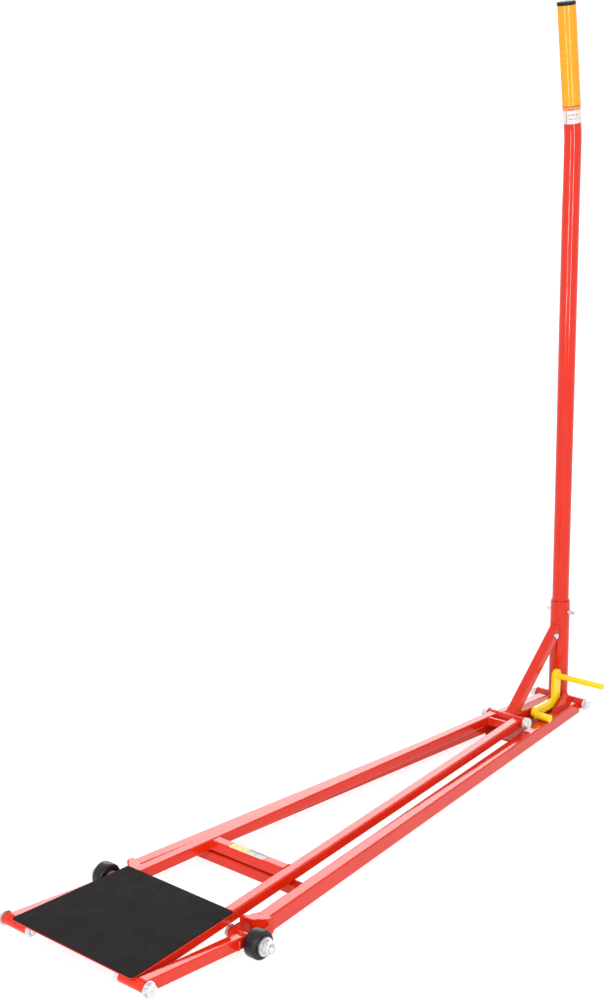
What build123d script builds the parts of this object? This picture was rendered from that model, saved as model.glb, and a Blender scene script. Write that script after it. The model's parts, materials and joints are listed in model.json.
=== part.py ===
from build123d import *
import math
import os

# Low-profile lever jack: a V-shaped floor frame on two rollers, a lifting frame that stays level on
# two pairs of equal links, and a long lever that swings the links over.
# X runs across the jack, -Y towards the lifting pad, +Y towards the lever, +Z up.
# The origin is on the floor, under the rear axle, in the middle of the jack's width.

# ---------------------------------------------------------------- driving dimensions (mm)
# The four-bar: both pairs of links have the same run and rise, so the lifting frame stays level.
LINK_RUN = 213.5
LINK_RISE = 21.3
REAR_AXLE_Z = 23.5
ROLLER_AXLE_Y = -1153.0
ROLLER_AXLE_Z = 22.5
FOOT_AXLE_Y = -LINK_RUN
FOOT_AXLE_Z = REAR_AXLE_Z + LINK_RISE
PAD_AXLE_Y = ROLLER_AXLE_Y - LINK_RUN
PAD_AXLE_Z = ROLLER_AXLE_Z + LINK_RISE

# Fasteners: M12 bolts on every axle but the pad's, which takes M10 to clear the plate above it.
BOLT_RADIUS = 6.0
RUNNING_CLEARANCE = 0.06
HEAD_FLATS = 19.0
HEAD_HEIGHT = 8.0
NUT_HEIGHT = 10.0
WASHER_RADIUS = 12.0
PAD_BOLT_RADIUS = 5.0
PAD_BOLT_FLATS = 17.0
PAD_WASHER_RADIUS = 12.0
PAD_NUT_HEIGHT = 8.0
WASHER_THICKNESS = 2.0
FOOT_WASHER_RADIUS = 11.0
ROLLER_HEAD_HEIGHT = 5.5
ROLLER_WASHER_THICKNESS = 3.0
ROLLER_SIDE_GAP = 0.4

# Floor frame
OUTER_WIDTH = 22.5
OUTER_HEIGHT = 28.0
OUTER_INSIDE_AT_AXLE = 21.9
OUTER_SPREAD = 0.0918
OUTER_CLIMB = 0.0110
OUTER_FRONT_Y = -1114.0
TUBE_WALL = 2.0
WELD_GAP = 0.15
FLOOR_PLATE_THICKNESS = 4.0
FLOOR_PLATE_FRONT_Y = -225.0
FLOOR_PLATE_REAR_Y = 12.0
LOWER_CROSS_Y = -988.0
LOWER_CROSS_SIZE = 18.5
LOWER_CROSS_Z = 21.2
BRACKET_X = 33.0
BRACKET_THICKNESS = 5.0
BRACKET_FRONT_Y = -95.0
BRACKET_REAR_Y = -22.0
BRACKET_TOP_FRONT_Y = -48.0
BRACKET_TOP_REAR_Y = -40.0
BRACKET_TOP_Z = 57.0

# Lifting frame
INNER_SIZE = 18.5
INNER_OUTSIDE_AT_AXLE = 19.0
INNER_SPREAD = 0.0774
INNER_Z = 43.6
UPPER_CROSS_Y = -988.0
PAD_FRONT_Y = -1376.0
PAD_REAR_Y = -1150.0
PAD_FRONT_HALF = 128.3
PAD_REAR_HALF = 114.0
PAD_CORNER = 7.0
PLATE_THICKNESS = 1.5
RUBBER_THICKNESS = 2.0
RUBBER_INSET = 0.8
APEX_STRIP_Y = -247.0
APEX_STRIP_THICKNESS = 5.0
APEX_STRIP_HEIGHT = 16.0

# Sleeves on the axles
SMALL_SLEEVE = 9.5
LINK_SLEEVE = 9.5
PAD_SLEEVE = 8.5
REAR_SLEEVE = 11.0
PAD_SLEEVE_INNER_X = 98.0
PAD_SLEEVE_SEAM_X = 122.0
PAD_SLEEVE_OUTER_X = 150.0
FOOT_SLEEVE_HALF = 14.0
LIFT_SLEEVE_OUTER_X = 42.0
REAR_FOOT_HALF = 20.5
REAR_SLEEVE_OUTER_X = 56.0
SLEEVE_GAP = 0.5

# Roller forks and rollers
FORK_INNER_X = 109.5
FORK_OUTER_X = 150.2
FORK_THICKNESS = 3.0
FORK_NOSE = 10.0
FORK_LIP_Z = 42.0
FORK_SHOULDER_Z = 31.0
FORK_GUSSET_LOW_Z = 22.0
FORK_LIP_INNER_Y = -1134.9
FORK_LIP_OUTER_X = 132.2
FORK_LIP_OUTER_Y = -1132.3
FORK_GUSSET_REAR_Y = -1116.0
FORK_NECK_Y = -1125.0
FORK_TOP_REAR_Y = -1117.0
FORK_BEND_Y = -1106.0
FORK_REAR_Y = -1103.0
ROLLER_RADIUS = 22.5
ROLLER_INNER_X = 151.9
ROLLER_OUTER_X = 175.0
ROLLER_WASHER_RADIUS = 14.5

# Links
LINK_TUBE_X = 137.8
LINK_TUBE_WIDTH = 17.6
LINK_TUBE_HEIGHT = 20.0

# Lever foot and lever
STRUT_WIDTH = 25.0
STRUT_HEIGHT = 18.0
SOCKET_RADIUS = 20.0
LEVER_RADIUS = 17.0
LEVER_FIT = 0.3
LEVER_LEAN = 0.03
LEVER_FLOOR_Y = -11.3
SOCKET_BOTTOM = 30.0
SOCKET_TOP = 246.0
LEVER_BOTTOM = 90.0
LEVER_BEND = 1182.0
LEVER_TOP_LEAN = 0.183
LEVER_TOP = 1420.0
BRACE_SIZE = 20.0
BRACE_ANGLE = 40.55
BRACE_LOW_Y = -206.6
BRACE_LOW_Z = 37.6
BRACE_LENGTH = 250.0
BRACE_SCREW_Y = -51.0
BRACE_SCREW_Z = 177.0
BRACE_SCREW_RADIUS = 4.0
BRACE_SCREW_DEPTH = 6.0
LEVER_WALL = 2.5
LEVER_BEND_RADIUS = 120.0
GRIP_START = 1238.0
GRIP_RADIUS = 17.9
GRIP_CAP_HEIGHT = 6.5
GRIP_CAP_DEPTH = 20.0
BAND_START = 1204.0
BAND_THICKNESS = 0.25

# Lock pin and its pull ring
LOCK_PIN_Z = 223.0
LOCK_PIN_RADIUS = 4.0
PIN_TIP_X = -31.0
PIN_TIP_RADIUS = 2.4
PIN_HEAD_X = SOCKET_RADIUS + 0.6
PIN_HEAD_RADIUS = 5.5
PIN_HEAD_LENGTH = 4.0
PIN_NECK_RADIUS = 3.5
PIN_NECK_END_X = 35.0
RING_HOLE_X = 31.0
RING_HOLE_RADIUS = 1.9
RING_RADIUS = 8.5
RING_WIRE = 1.0
RING_TILT = math.radians(60)

# Catch: an L-shaped bar on a pivot beside the lever foot, with a pedal rod and a stop bar
CATCH_X = 20.8
CATCH_THICKNESS = 8.0
CATCH_PIVOT_Y = -58.0
CATCH_PIVOT_Z = 42.0
CATCH_HUB_RADIUS = 9.5
CATCH_TOP_Y = -66.0
CATCH_TOP_Z = 100.0
CATCH_HALF = 12.5
CATCH_FRONT_Y = -147.0
CATCH_LOW_Z = 33.0
CATCH_ARM_TOP_Z = 53.0
CATCH_INNER_CORNER = 10.0
PIVOT_PIN_RADIUS = 4.0
PIVOT_HEAD_RADIUS = 6.5
PIVOT_COLLAR_RADIUS = 7.0
PEDAL_RADIUS = 6.0
PEDAL_Z = 99.0
PEDAL_END_X = 133.0
STOP_BAR_RADIUS = 7.5
STOP_BAR_LIFT = 0.4
STOP_BAR_END_X = 62.0
ROD_END_FILLET = 1.5

os.makedirs("parts", exist_ok=True)


# ---------------------------------------------------------------- helpers
def finish(piece, name):
    """Label a finished piece and write it to its own STEP file."""
    piece.part.label = name
    export_step(piece.part, f"parts/{name}.step")


def outer_inside(y):
    """Inner face of the right-hand floor tube at a given y."""
    return OUTER_INSIDE_AT_AXLE - OUTER_SPREAD * y


def outer_middle_z(y):
    """Height of the floor tubes' centre line."""
    return OUTER_HEIGHT / 2 - OUTER_CLIMB * y


def inner_outside(y):
    """Outer face of the right-hand lifting tube at a given y."""
    return INNER_OUTSIDE_AT_AXLE - INNER_SPREAD * y


def tube_plane(start, end):
    """Plane across a bar that runs from start to end, with its own x level."""
    along = (Vector(*end) - Vector(*start)).normalized()
    level = along.cross(Vector(0, 0, 1)).normalized()
    return Plane(origin=start, x_dir=level, z_dir=along)


def box_tube(start, end, width, height, corner=2.5, wall=TUBE_WALL):
    """Rectangular steel tube with rolled corners between two points."""
    length = (Vector(*end) - Vector(*start)).length
    with BuildPart() as tube:
        with BuildSketch(tube_plane(start, end)):
            RectangleRounded(width, height, corner)
            RectangleRounded(width - 2 * wall, height - 2 * wall, max(corner - wall, 0.5), mode=Mode.SUBTRACT)
        extrude(amount=length)
    return tube


def rod_x(x_start, x_end, y, z, radius):
    """Solid round bar along X."""
    with BuildPart() as rod:
        with BuildSketch(Plane.YZ.offset(x_start)):
            with Locations((y, z)):
                Circle(radius)
        extrude(amount=x_end - x_start)
    return rod


def sleeve_x(x_start, x_end, y, z, radius, bore):
    """Round sleeve along X."""
    with BuildPart() as sleeve:
        with BuildSketch(Plane.YZ.offset(x_start)):
            with Locations((y, z)):
                Circle(radius)
                Circle(bore, mode=Mode.SUBTRACT)
        extrude(amount=x_end - x_start)
    return sleeve


def hex_bolt_x(head_x, tip_x, y, z, radius=BOLT_RADIUS, flats=HEAD_FLATS, height=HEAD_HEIGHT):
    """Hexagon bolt along X: head_x is under the head, tip_x is the end of the shank."""
    outward = 1 if head_x > tip_x else -1
    with BuildPart() as bolt:
        with BuildSketch(Plane.YZ.offset(head_x)):
            with Locations((y, z)):
                RegularPolygon(flats / 2, 6, major_radius=False)
        extrude(amount=outward * height)
        with BuildSketch(Plane.YZ.offset(head_x)):
            with Locations((y, z)):
                Circle(radius)
        extrude(amount=tip_x - head_x)
        tip = bolt.faces().sort_by(Axis.X)[0 if outward > 0 else -1]
        chamfer(tip.edges(), 1.0)
    return bolt


def hex_nut_x(x_start, x_end, y, z, flats=HEAD_FLATS, bore=BOLT_RADIUS):
    """Hexagon nut along X on a bolt."""
    with BuildPart() as nut:
        with BuildSketch(Plane.YZ.offset(x_start)):
            with Locations((y, z)):
                RegularPolygon(flats / 2, 6, major_radius=False)
                Circle(bore, mode=Mode.SUBTRACT)
        extrude(amount=x_end - x_start)
    return nut


def both_sides(piece):
    """The piece and its mirror image in the jack's middle plane, as one node."""
    with BuildPart() as pair:
        add(piece.part)
        mirror(piece.part, about=Plane.YZ)
    return pair


def left_of(piece):
    """The mirror image of a right-hand piece."""
    with BuildPart() as twin:
        mirror(piece.part, about=Plane.YZ)
    return twin


def lever_point(distance):
    """Point on the lever's straight lower centre line, at a distance from where it meets the floor."""
    return Vector(0, LEVER_FLOOR_Y - distance * math.sin(LEVER_LEAN), distance * math.cos(LEVER_LEAN))


bore_radius = BOLT_RADIUS + RUNNING_CLEARANCE
pad_bore_radius = PAD_BOLT_RADIUS + RUNNING_CLEARANCE

# ---------------------------------------------------------------- floor frame
# Two tubes that spread from the rear axle to the roller forks, and climb slightly to the forks.
outer_centre = OUTER_WIDTH / 2
outer_start = (outer_inside(2.0) + outer_centre, 2.0, outer_middle_z(2.0))
outer_end = (outer_inside(OUTER_FRONT_Y) + outer_centre, OUTER_FRONT_Y, outer_middle_z(OUTER_FRONT_Y))
floor_tube_stock = box_tube(outer_start, outer_end, OUTER_WIDTH, OUTER_HEIGHT, corner=3.0)
rear_axle_cope = rod_x(10.0, 70.0, 0, REAR_AXLE_Z, REAR_SLEEVE)
with BuildPart() as floor_tube_right:
    add(floor_tube_stock.part)
    add(rear_axle_cope.part, mode=Mode.SUBTRACT)
floor_tube_left = left_of(floor_tube_right)
finish(floor_tube_right, "floor_tube_right")
finish(floor_tube_left, "floor_tube_left")

# The lower cross tube joins the floor tubes just under the lifting tubes.
lower_cross_half = outer_inside(LOWER_CROSS_Y + LOWER_CROSS_SIZE / 2) - WELD_GAP
lower_cross_tube = box_tube(
    (-lower_cross_half, LOWER_CROSS_Y, LOWER_CROSS_Z),
    (lower_cross_half, LOWER_CROSS_Y, LOWER_CROSS_Z),
    LOWER_CROSS_SIZE,
    LOWER_CROSS_SIZE,
)
finish(lower_cross_tube, "lower_cross_tube")

# The floor plate closes the V between the tubes at the rear and stands on the ground.
with BuildPart() as floor_plate:
    with BuildSketch():
        with BuildLine():
            Polyline(
                (outer_inside(FLOOR_PLATE_REAR_Y) - WELD_GAP, FLOOR_PLATE_REAR_Y),
                (outer_inside(FLOOR_PLATE_FRONT_Y) - WELD_GAP, FLOOR_PLATE_FRONT_Y),
                (-outer_inside(FLOOR_PLATE_FRONT_Y) + WELD_GAP, FLOOR_PLATE_FRONT_Y),
                (-outer_inside(FLOOR_PLATE_REAR_Y) + WELD_GAP, FLOOR_PLATE_REAR_Y),
                close=True,
            )
        make_face()
    extrude(amount=FLOOR_PLATE_THICKNESS)
finish(floor_plate, "floor_plate")

# Rear axle sleeves, one across the end of each floor tube.
rear_sleeve_inner_x = REAR_FOOT_HALF + SLEEVE_GAP
rear_sleeve = sleeve_x(rear_sleeve_inner_x, REAR_SLEEVE_OUTER_X, 0, REAR_AXLE_Z, REAR_SLEEVE, bore_radius)
rear_axle_sleeves = both_sides(rear_sleeve)
finish(rear_axle_sleeves, "rear_axle_sleeves")


def prism(z_low, z_high, *corners):
    """Upright solid on a plan outline, between two heights."""
    with BuildPart() as block:
        with BuildSketch(Plane.XY.offset(z_low)):
            with BuildLine():
                Polyline(*corners, close=True)
            make_face()
        extrude(amount=z_high - z_low)
    return block


def roller_fork():
    """Folded fork on the front end of a floor tube: two ears for the roller's axle, under a lip."""
    rear_top_z = outer_middle_z(FORK_BEND_Y) + OUTER_HEIGHT / 2 + 1.0
    rear_low_z = outer_middle_z(FORK_BEND_Y) - OUTER_HEIGHT / 2 + 0.5
    low_z = ROLLER_AXLE_Z - FORK_NOSE - 1.0
    high_z = FORK_LIP_Z + 1.0
    front_y = ROLLER_AXLE_Y - 20.0
    behind_y = FORK_REAR_Y + 5.0
    inside_x = FORK_INNER_X + FORK_THICKNESS
    outside_x = FORK_OUTER_X - FORK_THICKNESS
    # The inner ear steps outward behind the lip, until it lies against the tube's inner face.
    neck_x = outer_inside(FORK_BEND_Y) - FORK_THICKNESS - WELD_GAP
    neck_inside_x = neck_x + FORK_THICKNESS
    ear_step_y = FORK_THICKNESS * 0.4
    # A slanting gusset runs from the lip back to the outer ear.
    gusset_step_x = FORK_THICKNESS * 0.67
    gusset_step_y = FORK_THICKNESS * 0.74
    beside_tube = prism(
        low_z,
        high_z,
        (FORK_INNER_X - 1.0, FORK_LIP_INNER_Y),
        (FORK_INNER_X, FORK_LIP_INNER_Y),
        (neck_x, FORK_NECK_Y),
        (neck_x, behind_y),
        (FORK_INNER_X - 1.0, behind_y),
    )
    before_lip = prism(
        FORK_SHOULDER_Z,
        high_z,
        (FORK_INNER_X - 1.0, FORK_LIP_INNER_Y),
        (FORK_LIP_OUTER_X, FORK_LIP_OUTER_Y),
        (FORK_OUTER_X, FORK_GUSSET_REAR_Y),
        (FORK_OUTER_X + 1.0, FORK_GUSSET_REAR_Y),
        (FORK_OUTER_X + 1.0, front_y),
        (FORK_INNER_X - 1.0, front_y),
    )
    low_hollow = prism(
        low_z,
        FORK_SHOULDER_Z,
        (inside_x, front_y),
        (inside_x, FORK_LIP_INNER_Y - ear_step_y),
        (neck_inside_x, FORK_NECK_Y - ear_step_y),
        (neck_inside_x, behind_y),
        (outside_x, behind_y),
        (outside_x, front_y),
    )
    high_hollow = prism(
        FORK_SHOULDER_Z,
        rear_top_z - FORK_THICKNESS,
        (inside_x, front_y),
        (inside_x, FORK_LIP_INNER_Y - ear_step_y),
        (neck_inside_x, FORK_NECK_Y - ear_step_y),
        (neck_inside_x, behind_y),
        (outside_x, behind_y),
        (outside_x, FORK_GUSSET_REAR_Y + gusset_step_y * 0.6),
        (FORK_LIP_OUTER_X - gusset_step_x, FORK_LIP_OUTER_Y + gusset_step_y),
        (FORK_LIP_OUTER_X - gusset_step_x, front_y),
    )
    gusset_skirt = prism(
        FORK_GUSSET_LOW_Z,
        FORK_SHOULDER_Z,
        (FORK_LIP_OUTER_X, FORK_LIP_OUTER_Y),
        (FORK_OUTER_X - 1.0, FORK_GUSSET_REAR_Y - 1.0),
        (FORK_OUTER_X - 1.0 - gusset_step_x, FORK_GUSSET_REAR_Y - 1.0 + gusset_step_y),
        (FORK_LIP_OUTER_X - gusset_step_x, FORK_LIP_OUTER_Y + gusset_step_y),
    )
    # The top plate's rear edge slants back towards the outer ear.
    behind_top = prism(
        rear_top_z - FORK_THICKNESS - 0.5,
        high_z,
        (neck_x - 1.0, FORK_TOP_REAR_Y),
        (outside_x, FORK_REAR_Y - 0.5),
        (outside_x, behind_y),
        (neck_x - 1.0, behind_y),
    )
    with BuildPart() as fork:
        with BuildSketch(Plane.YZ.offset(FORK_INNER_X)):
            with BuildLine():
                nose = CenterArc((ROLLER_AXLE_Y, ROLLER_AXLE_Z), FORK_NOSE, 90, 180)
                Polyline(
                    nose @ 0,
                    (FORK_LIP_INNER_Y, FORK_SHOULDER_Z),
                    (FORK_LIP_INNER_Y, FORK_LIP_Z),
                    (FORK_BEND_Y - 2.0, rear_top_z),
                    (FORK_REAR_Y - 2.0, rear_top_z - 1.5),
                    (FORK_REAR_Y, rear_top_z - 5.0),
                    (FORK_REAR_Y, rear_low_z + 4.0),
                    (FORK_REAR_Y - 4.0, rear_low_z),
                    nose @ 1,
                )
            make_face()
        extrude(amount=FORK_OUTER_X - FORK_INNER_X)
        for cut in (beside_tube, before_lip, low_hollow, high_hollow, behind_top):
            add(cut.part, mode=Mode.SUBTRACT)
        add(gusset_skirt.part)
        add(floor_tube_right.part, mode=Mode.SUBTRACT)
        with BuildSketch(Plane.YZ.offset(FORK_INNER_X)):
            with Locations((ROLLER_AXLE_Y, ROLLER_AXLE_Z)):
                Circle(bore_radius)
        extrude(amount=FORK_OUTER_X - FORK_INNER_X, mode=Mode.SUBTRACT)
    return fork


roller_fork_right = roller_fork()
roller_fork_left = left_of(roller_fork_right)
finish(roller_fork_right, "roller_fork_right")
finish(roller_fork_left, "roller_fork_left")

# Bracket for the catch: an upright plate on the right-hand floor tube with a sloping front edge.
with BuildPart() as catch_bracket:
    with BuildSketch(Plane.YZ.offset(BRACKET_X)):
        with BuildLine():
            Polyline(
                (BRACKET_FRONT_Y, outer_middle_z(BRACKET_FRONT_Y) + OUTER_HEIGHT / 2 + WELD_GAP),
                (BRACKET_TOP_FRONT_Y, BRACKET_TOP_Z),
                (BRACKET_TOP_REAR_Y, BRACKET_TOP_Z),
                (BRACKET_REAR_Y, outer_middle_z(BRACKET_REAR_Y) + OUTER_HEIGHT / 2 + WELD_GAP),
                close=True,
            )
        make_face()
        with Locations((CATCH_PIVOT_Y, CATCH_PIVOT_Z)):
            Circle(PIVOT_PIN_RADIUS, mode=Mode.SUBTRACT)
    extrude(amount=BRACKET_THICKNESS)
finish(catch_bracket, "catch_bracket")

# Catch pivot: a countersunk pin welded into the bracket, with a collar that spaces the catch.
catch_outer_x = CATCH_X + CATCH_THICKNESS
pin_side_y = CATCH_PIVOT_Y + PIVOT_PIN_RADIUS
collar_side_y = CATCH_PIVOT_Y + PIVOT_COLLAR_RADIUS
with BuildPart() as catch_pivot_pin:
    with BuildSketch(Plane.XY.offset(CATCH_PIVOT_Z)):
        with BuildLine():
            Polyline(
                (CATCH_X + 0.2, CATCH_PIVOT_Y),
                (CATCH_X + 0.2, CATCH_PIVOT_Y + PIVOT_HEAD_RADIUS),
                (CATCH_X + 0.2 + PIVOT_HEAD_RADIUS - PIVOT_PIN_RADIUS, pin_side_y),
                (catch_outer_x + 0.3, pin_side_y),
                (catch_outer_x + 0.3, collar_side_y),
                (BRACKET_X, collar_side_y),
                (BRACKET_X, pin_side_y),
                (BRACKET_X + BRACKET_THICKNESS, pin_side_y),
                (BRACKET_X + BRACKET_THICKNESS, CATCH_PIVOT_Y),
                close=True,
            )
        make_face()
    revolve(axis=Axis((0, CATCH_PIVOT_Y, CATCH_PIVOT_Z), (1, 0, 0)))
finish(catch_pivot_pin, "catch_pivot_pin")

# Rear axle: bolt from the right, washers under head and nut.
rear_head_x = REAR_SLEEVE_OUTER_X + WASHER_THICKNESS
rear_axle_bolt = hex_bolt_x(rear_head_x, -rear_head_x - NUT_HEIGHT - 4, 0, REAR_AXLE_Z)
finish(rear_axle_bolt, "rear_axle_bolt")
rear_axle_nut = hex_nut_x(-rear_head_x - NUT_HEIGHT, -rear_head_x, 0, REAR_AXLE_Z)
finish(rear_axle_nut, "rear_axle_nut")
rear_washer = sleeve_x(REAR_SLEEVE_OUTER_X, rear_head_x, 0, REAR_AXLE_Z, WASHER_RADIUS, bore_radius)
rear_axle_washers = both_sides(rear_washer)
finish(rear_axle_washers, "rear_axle_washers")

# Roller axles: heads inside the forks, nuts outside the rollers.
roller_washer_inner_x = ROLLER_OUTER_X + ROLLER_SIDE_GAP
roller_washer_outer_x = roller_washer_inner_x + ROLLER_WASHER_THICKNESS
roller_bolt_tip_x = roller_washer_outer_x + NUT_HEIGHT + 5
roller_axle_bolt = hex_bolt_x(
    FORK_INNER_X, roller_bolt_tip_x, ROLLER_AXLE_Y, ROLLER_AXLE_Z, height=ROLLER_HEAD_HEIGHT
)
roller_axle_bolts = both_sides(roller_axle_bolt)
finish(roller_axle_bolts, "roller_axle_bolts")
roller_spacer = sleeve_x(
    FORK_OUTER_X, ROLLER_INNER_X - ROLLER_SIDE_GAP, ROLLER_AXLE_Y, ROLLER_AXLE_Z, WASHER_RADIUS, BOLT_RADIUS
)
roller_spacers = both_sides(roller_spacer)
finish(roller_spacers, "roller_spacers")
roller_washer = sleeve_x(
    roller_washer_inner_x,
    roller_washer_outer_x,
    ROLLER_AXLE_Y,
    ROLLER_AXLE_Z,
    ROLLER_WASHER_RADIUS,
    BOLT_RADIUS,
)
roller_washers = both_sides(roller_washer)
finish(roller_washers, "roller_washers")
roller_nut = hex_nut_x(
    roller_washer_outer_x, roller_washer_outer_x + NUT_HEIGHT, ROLLER_AXLE_Y, ROLLER_AXLE_Z
)
roller_nuts = both_sides(roller_nut)
finish(roller_nuts, "roller_nuts")

# ---------------------------------------------------------------- rollers
with BuildPart() as roller_right:
    with BuildSketch(Plane.XY.offset(ROLLER_AXLE_Z)):
        with BuildLine():
            hub = ROLLER_AXLE_Y + bore_radius
            recess = ROLLER_AXLE_Y + ROLLER_WASHER_RADIUS + 1.5
            tread = ROLLER_AXLE_Y + ROLLER_RADIUS
            Polyline(
                (ROLLER_INNER_X, hub),
                (ROLLER_INNER_X, tread - 2.5),
                (ROLLER_INNER_X + 2.5, tread),
                (ROLLER_OUTER_X - 3.5, tread),
                (ROLLER_OUTER_X, tread - 3.5),
                (ROLLER_OUTER_X, recess + 1.0),
                (ROLLER_OUTER_X - 1.0, recess),
                (ROLLER_OUTER_X, recess - 1.0),
                (ROLLER_OUTER_X, hub),
                close=True,
            )
        make_face()
    revolve(axis=Axis((0, ROLLER_AXLE_Y, ROLLER_AXLE_Z), (1, 0, 0)))
roller_left = left_of(roller_right)
finish(roller_right, "roller_right")
finish(roller_left, "roller_left")

# ---------------------------------------------------------------- link arms
# Each link is a short tube between a sleeve on the roller axle and a sleeve on the pad axle.
link_sleeve_inner_x = FORK_INNER_X + FORK_THICKNESS + SLEEVE_GAP
link_sleeve_outer_x = FORK_OUTER_X - FORK_THICKNESS - SLEEVE_GAP
link_rear_sleeve = sleeve_x(
    link_sleeve_inner_x, link_sleeve_outer_x, ROLLER_AXLE_Y, ROLLER_AXLE_Z, LINK_SLEEVE, bore_radius
)
link_front_sleeve = sleeve_x(
    PAD_SLEEVE_SEAM_X + SLEEVE_GAP, PAD_SLEEVE_OUTER_X, PAD_AXLE_Y, PAD_AXLE_Z, PAD_SLEEVE, pad_bore_radius
)
with BuildPart() as link_sleeves_right:
    add(link_rear_sleeve.part)
    add(link_front_sleeve.part)
link_sleeves_left = left_of(link_sleeves_right)
finish(link_sleeves_right, "link_sleeves_right")
finish(link_sleeves_left, "link_sleeves_left")
link_tube_stock = box_tube(
    (LINK_TUBE_X, ROLLER_AXLE_Y, ROLLER_AXLE_Z),
    (LINK_TUBE_X, PAD_AXLE_Y, PAD_AXLE_Z),
    LINK_TUBE_WIDTH,
    LINK_TUBE_HEIGHT,
)
link_cope_rear = rod_x(110.0, 160.0, ROLLER_AXLE_Y, ROLLER_AXLE_Z, LINK_SLEEVE)
link_cope_front = rod_x(110.0, 160.0, PAD_AXLE_Y, PAD_AXLE_Z, PAD_SLEEVE)
with BuildPart() as link_tube_right:
    add(link_tube_stock.part)
    add(link_cope_rear.part, mode=Mode.SUBTRACT)
    add(link_cope_front.part, mode=Mode.SUBTRACT)
link_tube_left = left_of(link_tube_right)
finish(link_tube_right, "link_tube_right")
finish(link_tube_left, "link_tube_left")

# ---------------------------------------------------------------- lifting frame
inner_centre = INNER_SIZE / 2
inner_front_y = PAD_AXLE_Y + PAD_SLEEVE + 2.0
inner_rear_y = FOOT_AXLE_Y - 4.0
inner_start = (inner_outside(inner_rear_y) - inner_centre, inner_rear_y, INNER_Z)
inner_end = (inner_outside(inner_front_y) - inner_centre, inner_front_y, INNER_Z)
lift_tube_stock = box_tube(inner_start, inner_end, INNER_SIZE, INNER_SIZE)
foot_axle_cope = rod_x(0.0, 60.0, FOOT_AXLE_Y, FOOT_AXLE_Z, SMALL_SLEEVE)
with BuildPart() as lift_tube_right:
    add(lift_tube_stock.part)
    add(foot_axle_cope.part, mode=Mode.SUBTRACT)
lift_tube_left = left_of(lift_tube_right)
finish(lift_tube_right, "lift_tube_right")
finish(lift_tube_left, "lift_tube_left")

upper_cross_half = inner_outside(UPPER_CROSS_Y + INNER_SIZE / 2) - INNER_SIZE - WELD_GAP
upper_cross_tube = box_tube(
    (-upper_cross_half, UPPER_CROSS_Y, INNER_Z),
    (upper_cross_half, UPPER_CROSS_Y, INNER_Z),
    INNER_SIZE,
    INNER_SIZE,
)
finish(upper_cross_tube, "upper_cross_tube")

# A flat strip ties the lifting tubes together near the point of the V.
apex_half = inner_outside(APEX_STRIP_Y) - INNER_SIZE - 0.5
with BuildPart() as apex_strip:
    with Locations((0, APEX_STRIP_Y, INNER_Z)):
        Box(2 * apex_half, APEX_STRIP_THICKNESS, APEX_STRIP_HEIGHT)
finish(apex_strip, "apex_strip")

pad_sleeve = sleeve_x(
    PAD_SLEEVE_INNER_X, PAD_SLEEVE_SEAM_X, PAD_AXLE_Y, PAD_AXLE_Z, PAD_SLEEVE, pad_bore_radius
)
pad_axle_sleeves = both_sides(pad_sleeve)
finish(pad_axle_sleeves, "pad_axle_sleeves")
lift_sleeve = sleeve_x(
    FOOT_SLEEVE_HALF + SLEEVE_GAP, LIFT_SLEEVE_OUTER_X, FOOT_AXLE_Y, FOOT_AXLE_Z, SMALL_SLEEVE, bore_radius
)
foot_axle_sleeves = both_sides(lift_sleeve)
finish(foot_axle_sleeves, "foot_axle_sleeves")


def pad_outline(inset):
    """The pad's outline, narrower at the rear, where it follows the lifting tubes."""
    with BuildSketch() as outline:
        with BuildLine():
            Polyline(
                (-PAD_FRONT_HALF + inset, PAD_FRONT_Y + inset),
                (PAD_FRONT_HALF - inset, PAD_FRONT_Y + inset),
                (PAD_REAR_HALF - inset, PAD_REAR_Y - inset),
                (-PAD_REAR_HALF + inset, PAD_REAR_Y - inset),
                close=True,
            )
        make_face()
        fillet(outline.vertices(), PAD_CORNER)
    return outline


pad_bottom_z = INNER_Z + INNER_SIZE / 2
with BuildPart() as pad_plate:
    with BuildSketch(Plane.XY.offset(pad_bottom_z)):
        add(pad_outline(0.0).sketch)
    extrude(amount=PLATE_THICKNESS)
finish(pad_plate, "pad_plate")
with BuildPart() as rubber_pad:
    with BuildSketch(Plane.XY.offset(pad_bottom_z + PLATE_THICKNESS)):
        add(pad_outline(RUBBER_INSET).sketch)
    extrude(amount=RUBBER_THICKNESS)
finish(rubber_pad, "rubber_pad")

# Pad axle bolts: heads outside the link sleeves, nuts inside the lifting frame's sleeves.
pad_head_x = PAD_SLEEVE_OUTER_X + SLEEVE_GAP + WASHER_THICKNESS
pad_nut_x = PAD_SLEEVE_INNER_X - PAD_NUT_HEIGHT
pad_axle_bolt = hex_bolt_x(
    pad_head_x, pad_nut_x - 4, PAD_AXLE_Y, PAD_AXLE_Z, radius=PAD_BOLT_RADIUS, flats=PAD_BOLT_FLATS
)
pad_axle_bolts = both_sides(pad_axle_bolt)
finish(pad_axle_bolts, "pad_axle_bolts")
pad_washer = sleeve_x(
    pad_head_x - WASHER_THICKNESS, pad_head_x, PAD_AXLE_Y, PAD_AXLE_Z, PAD_WASHER_RADIUS, PAD_BOLT_RADIUS
)
pad_axle_washers = both_sides(pad_washer)
finish(pad_axle_washers, "pad_axle_washers")
pad_nut = hex_nut_x(
    pad_nut_x, PAD_SLEEVE_INNER_X, PAD_AXLE_Y, PAD_AXLE_Z, flats=PAD_BOLT_FLATS, bore=PAD_BOLT_RADIUS
)
pad_axle_nuts = both_sides(pad_nut)
finish(pad_axle_nuts, "pad_axle_nuts")

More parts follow.
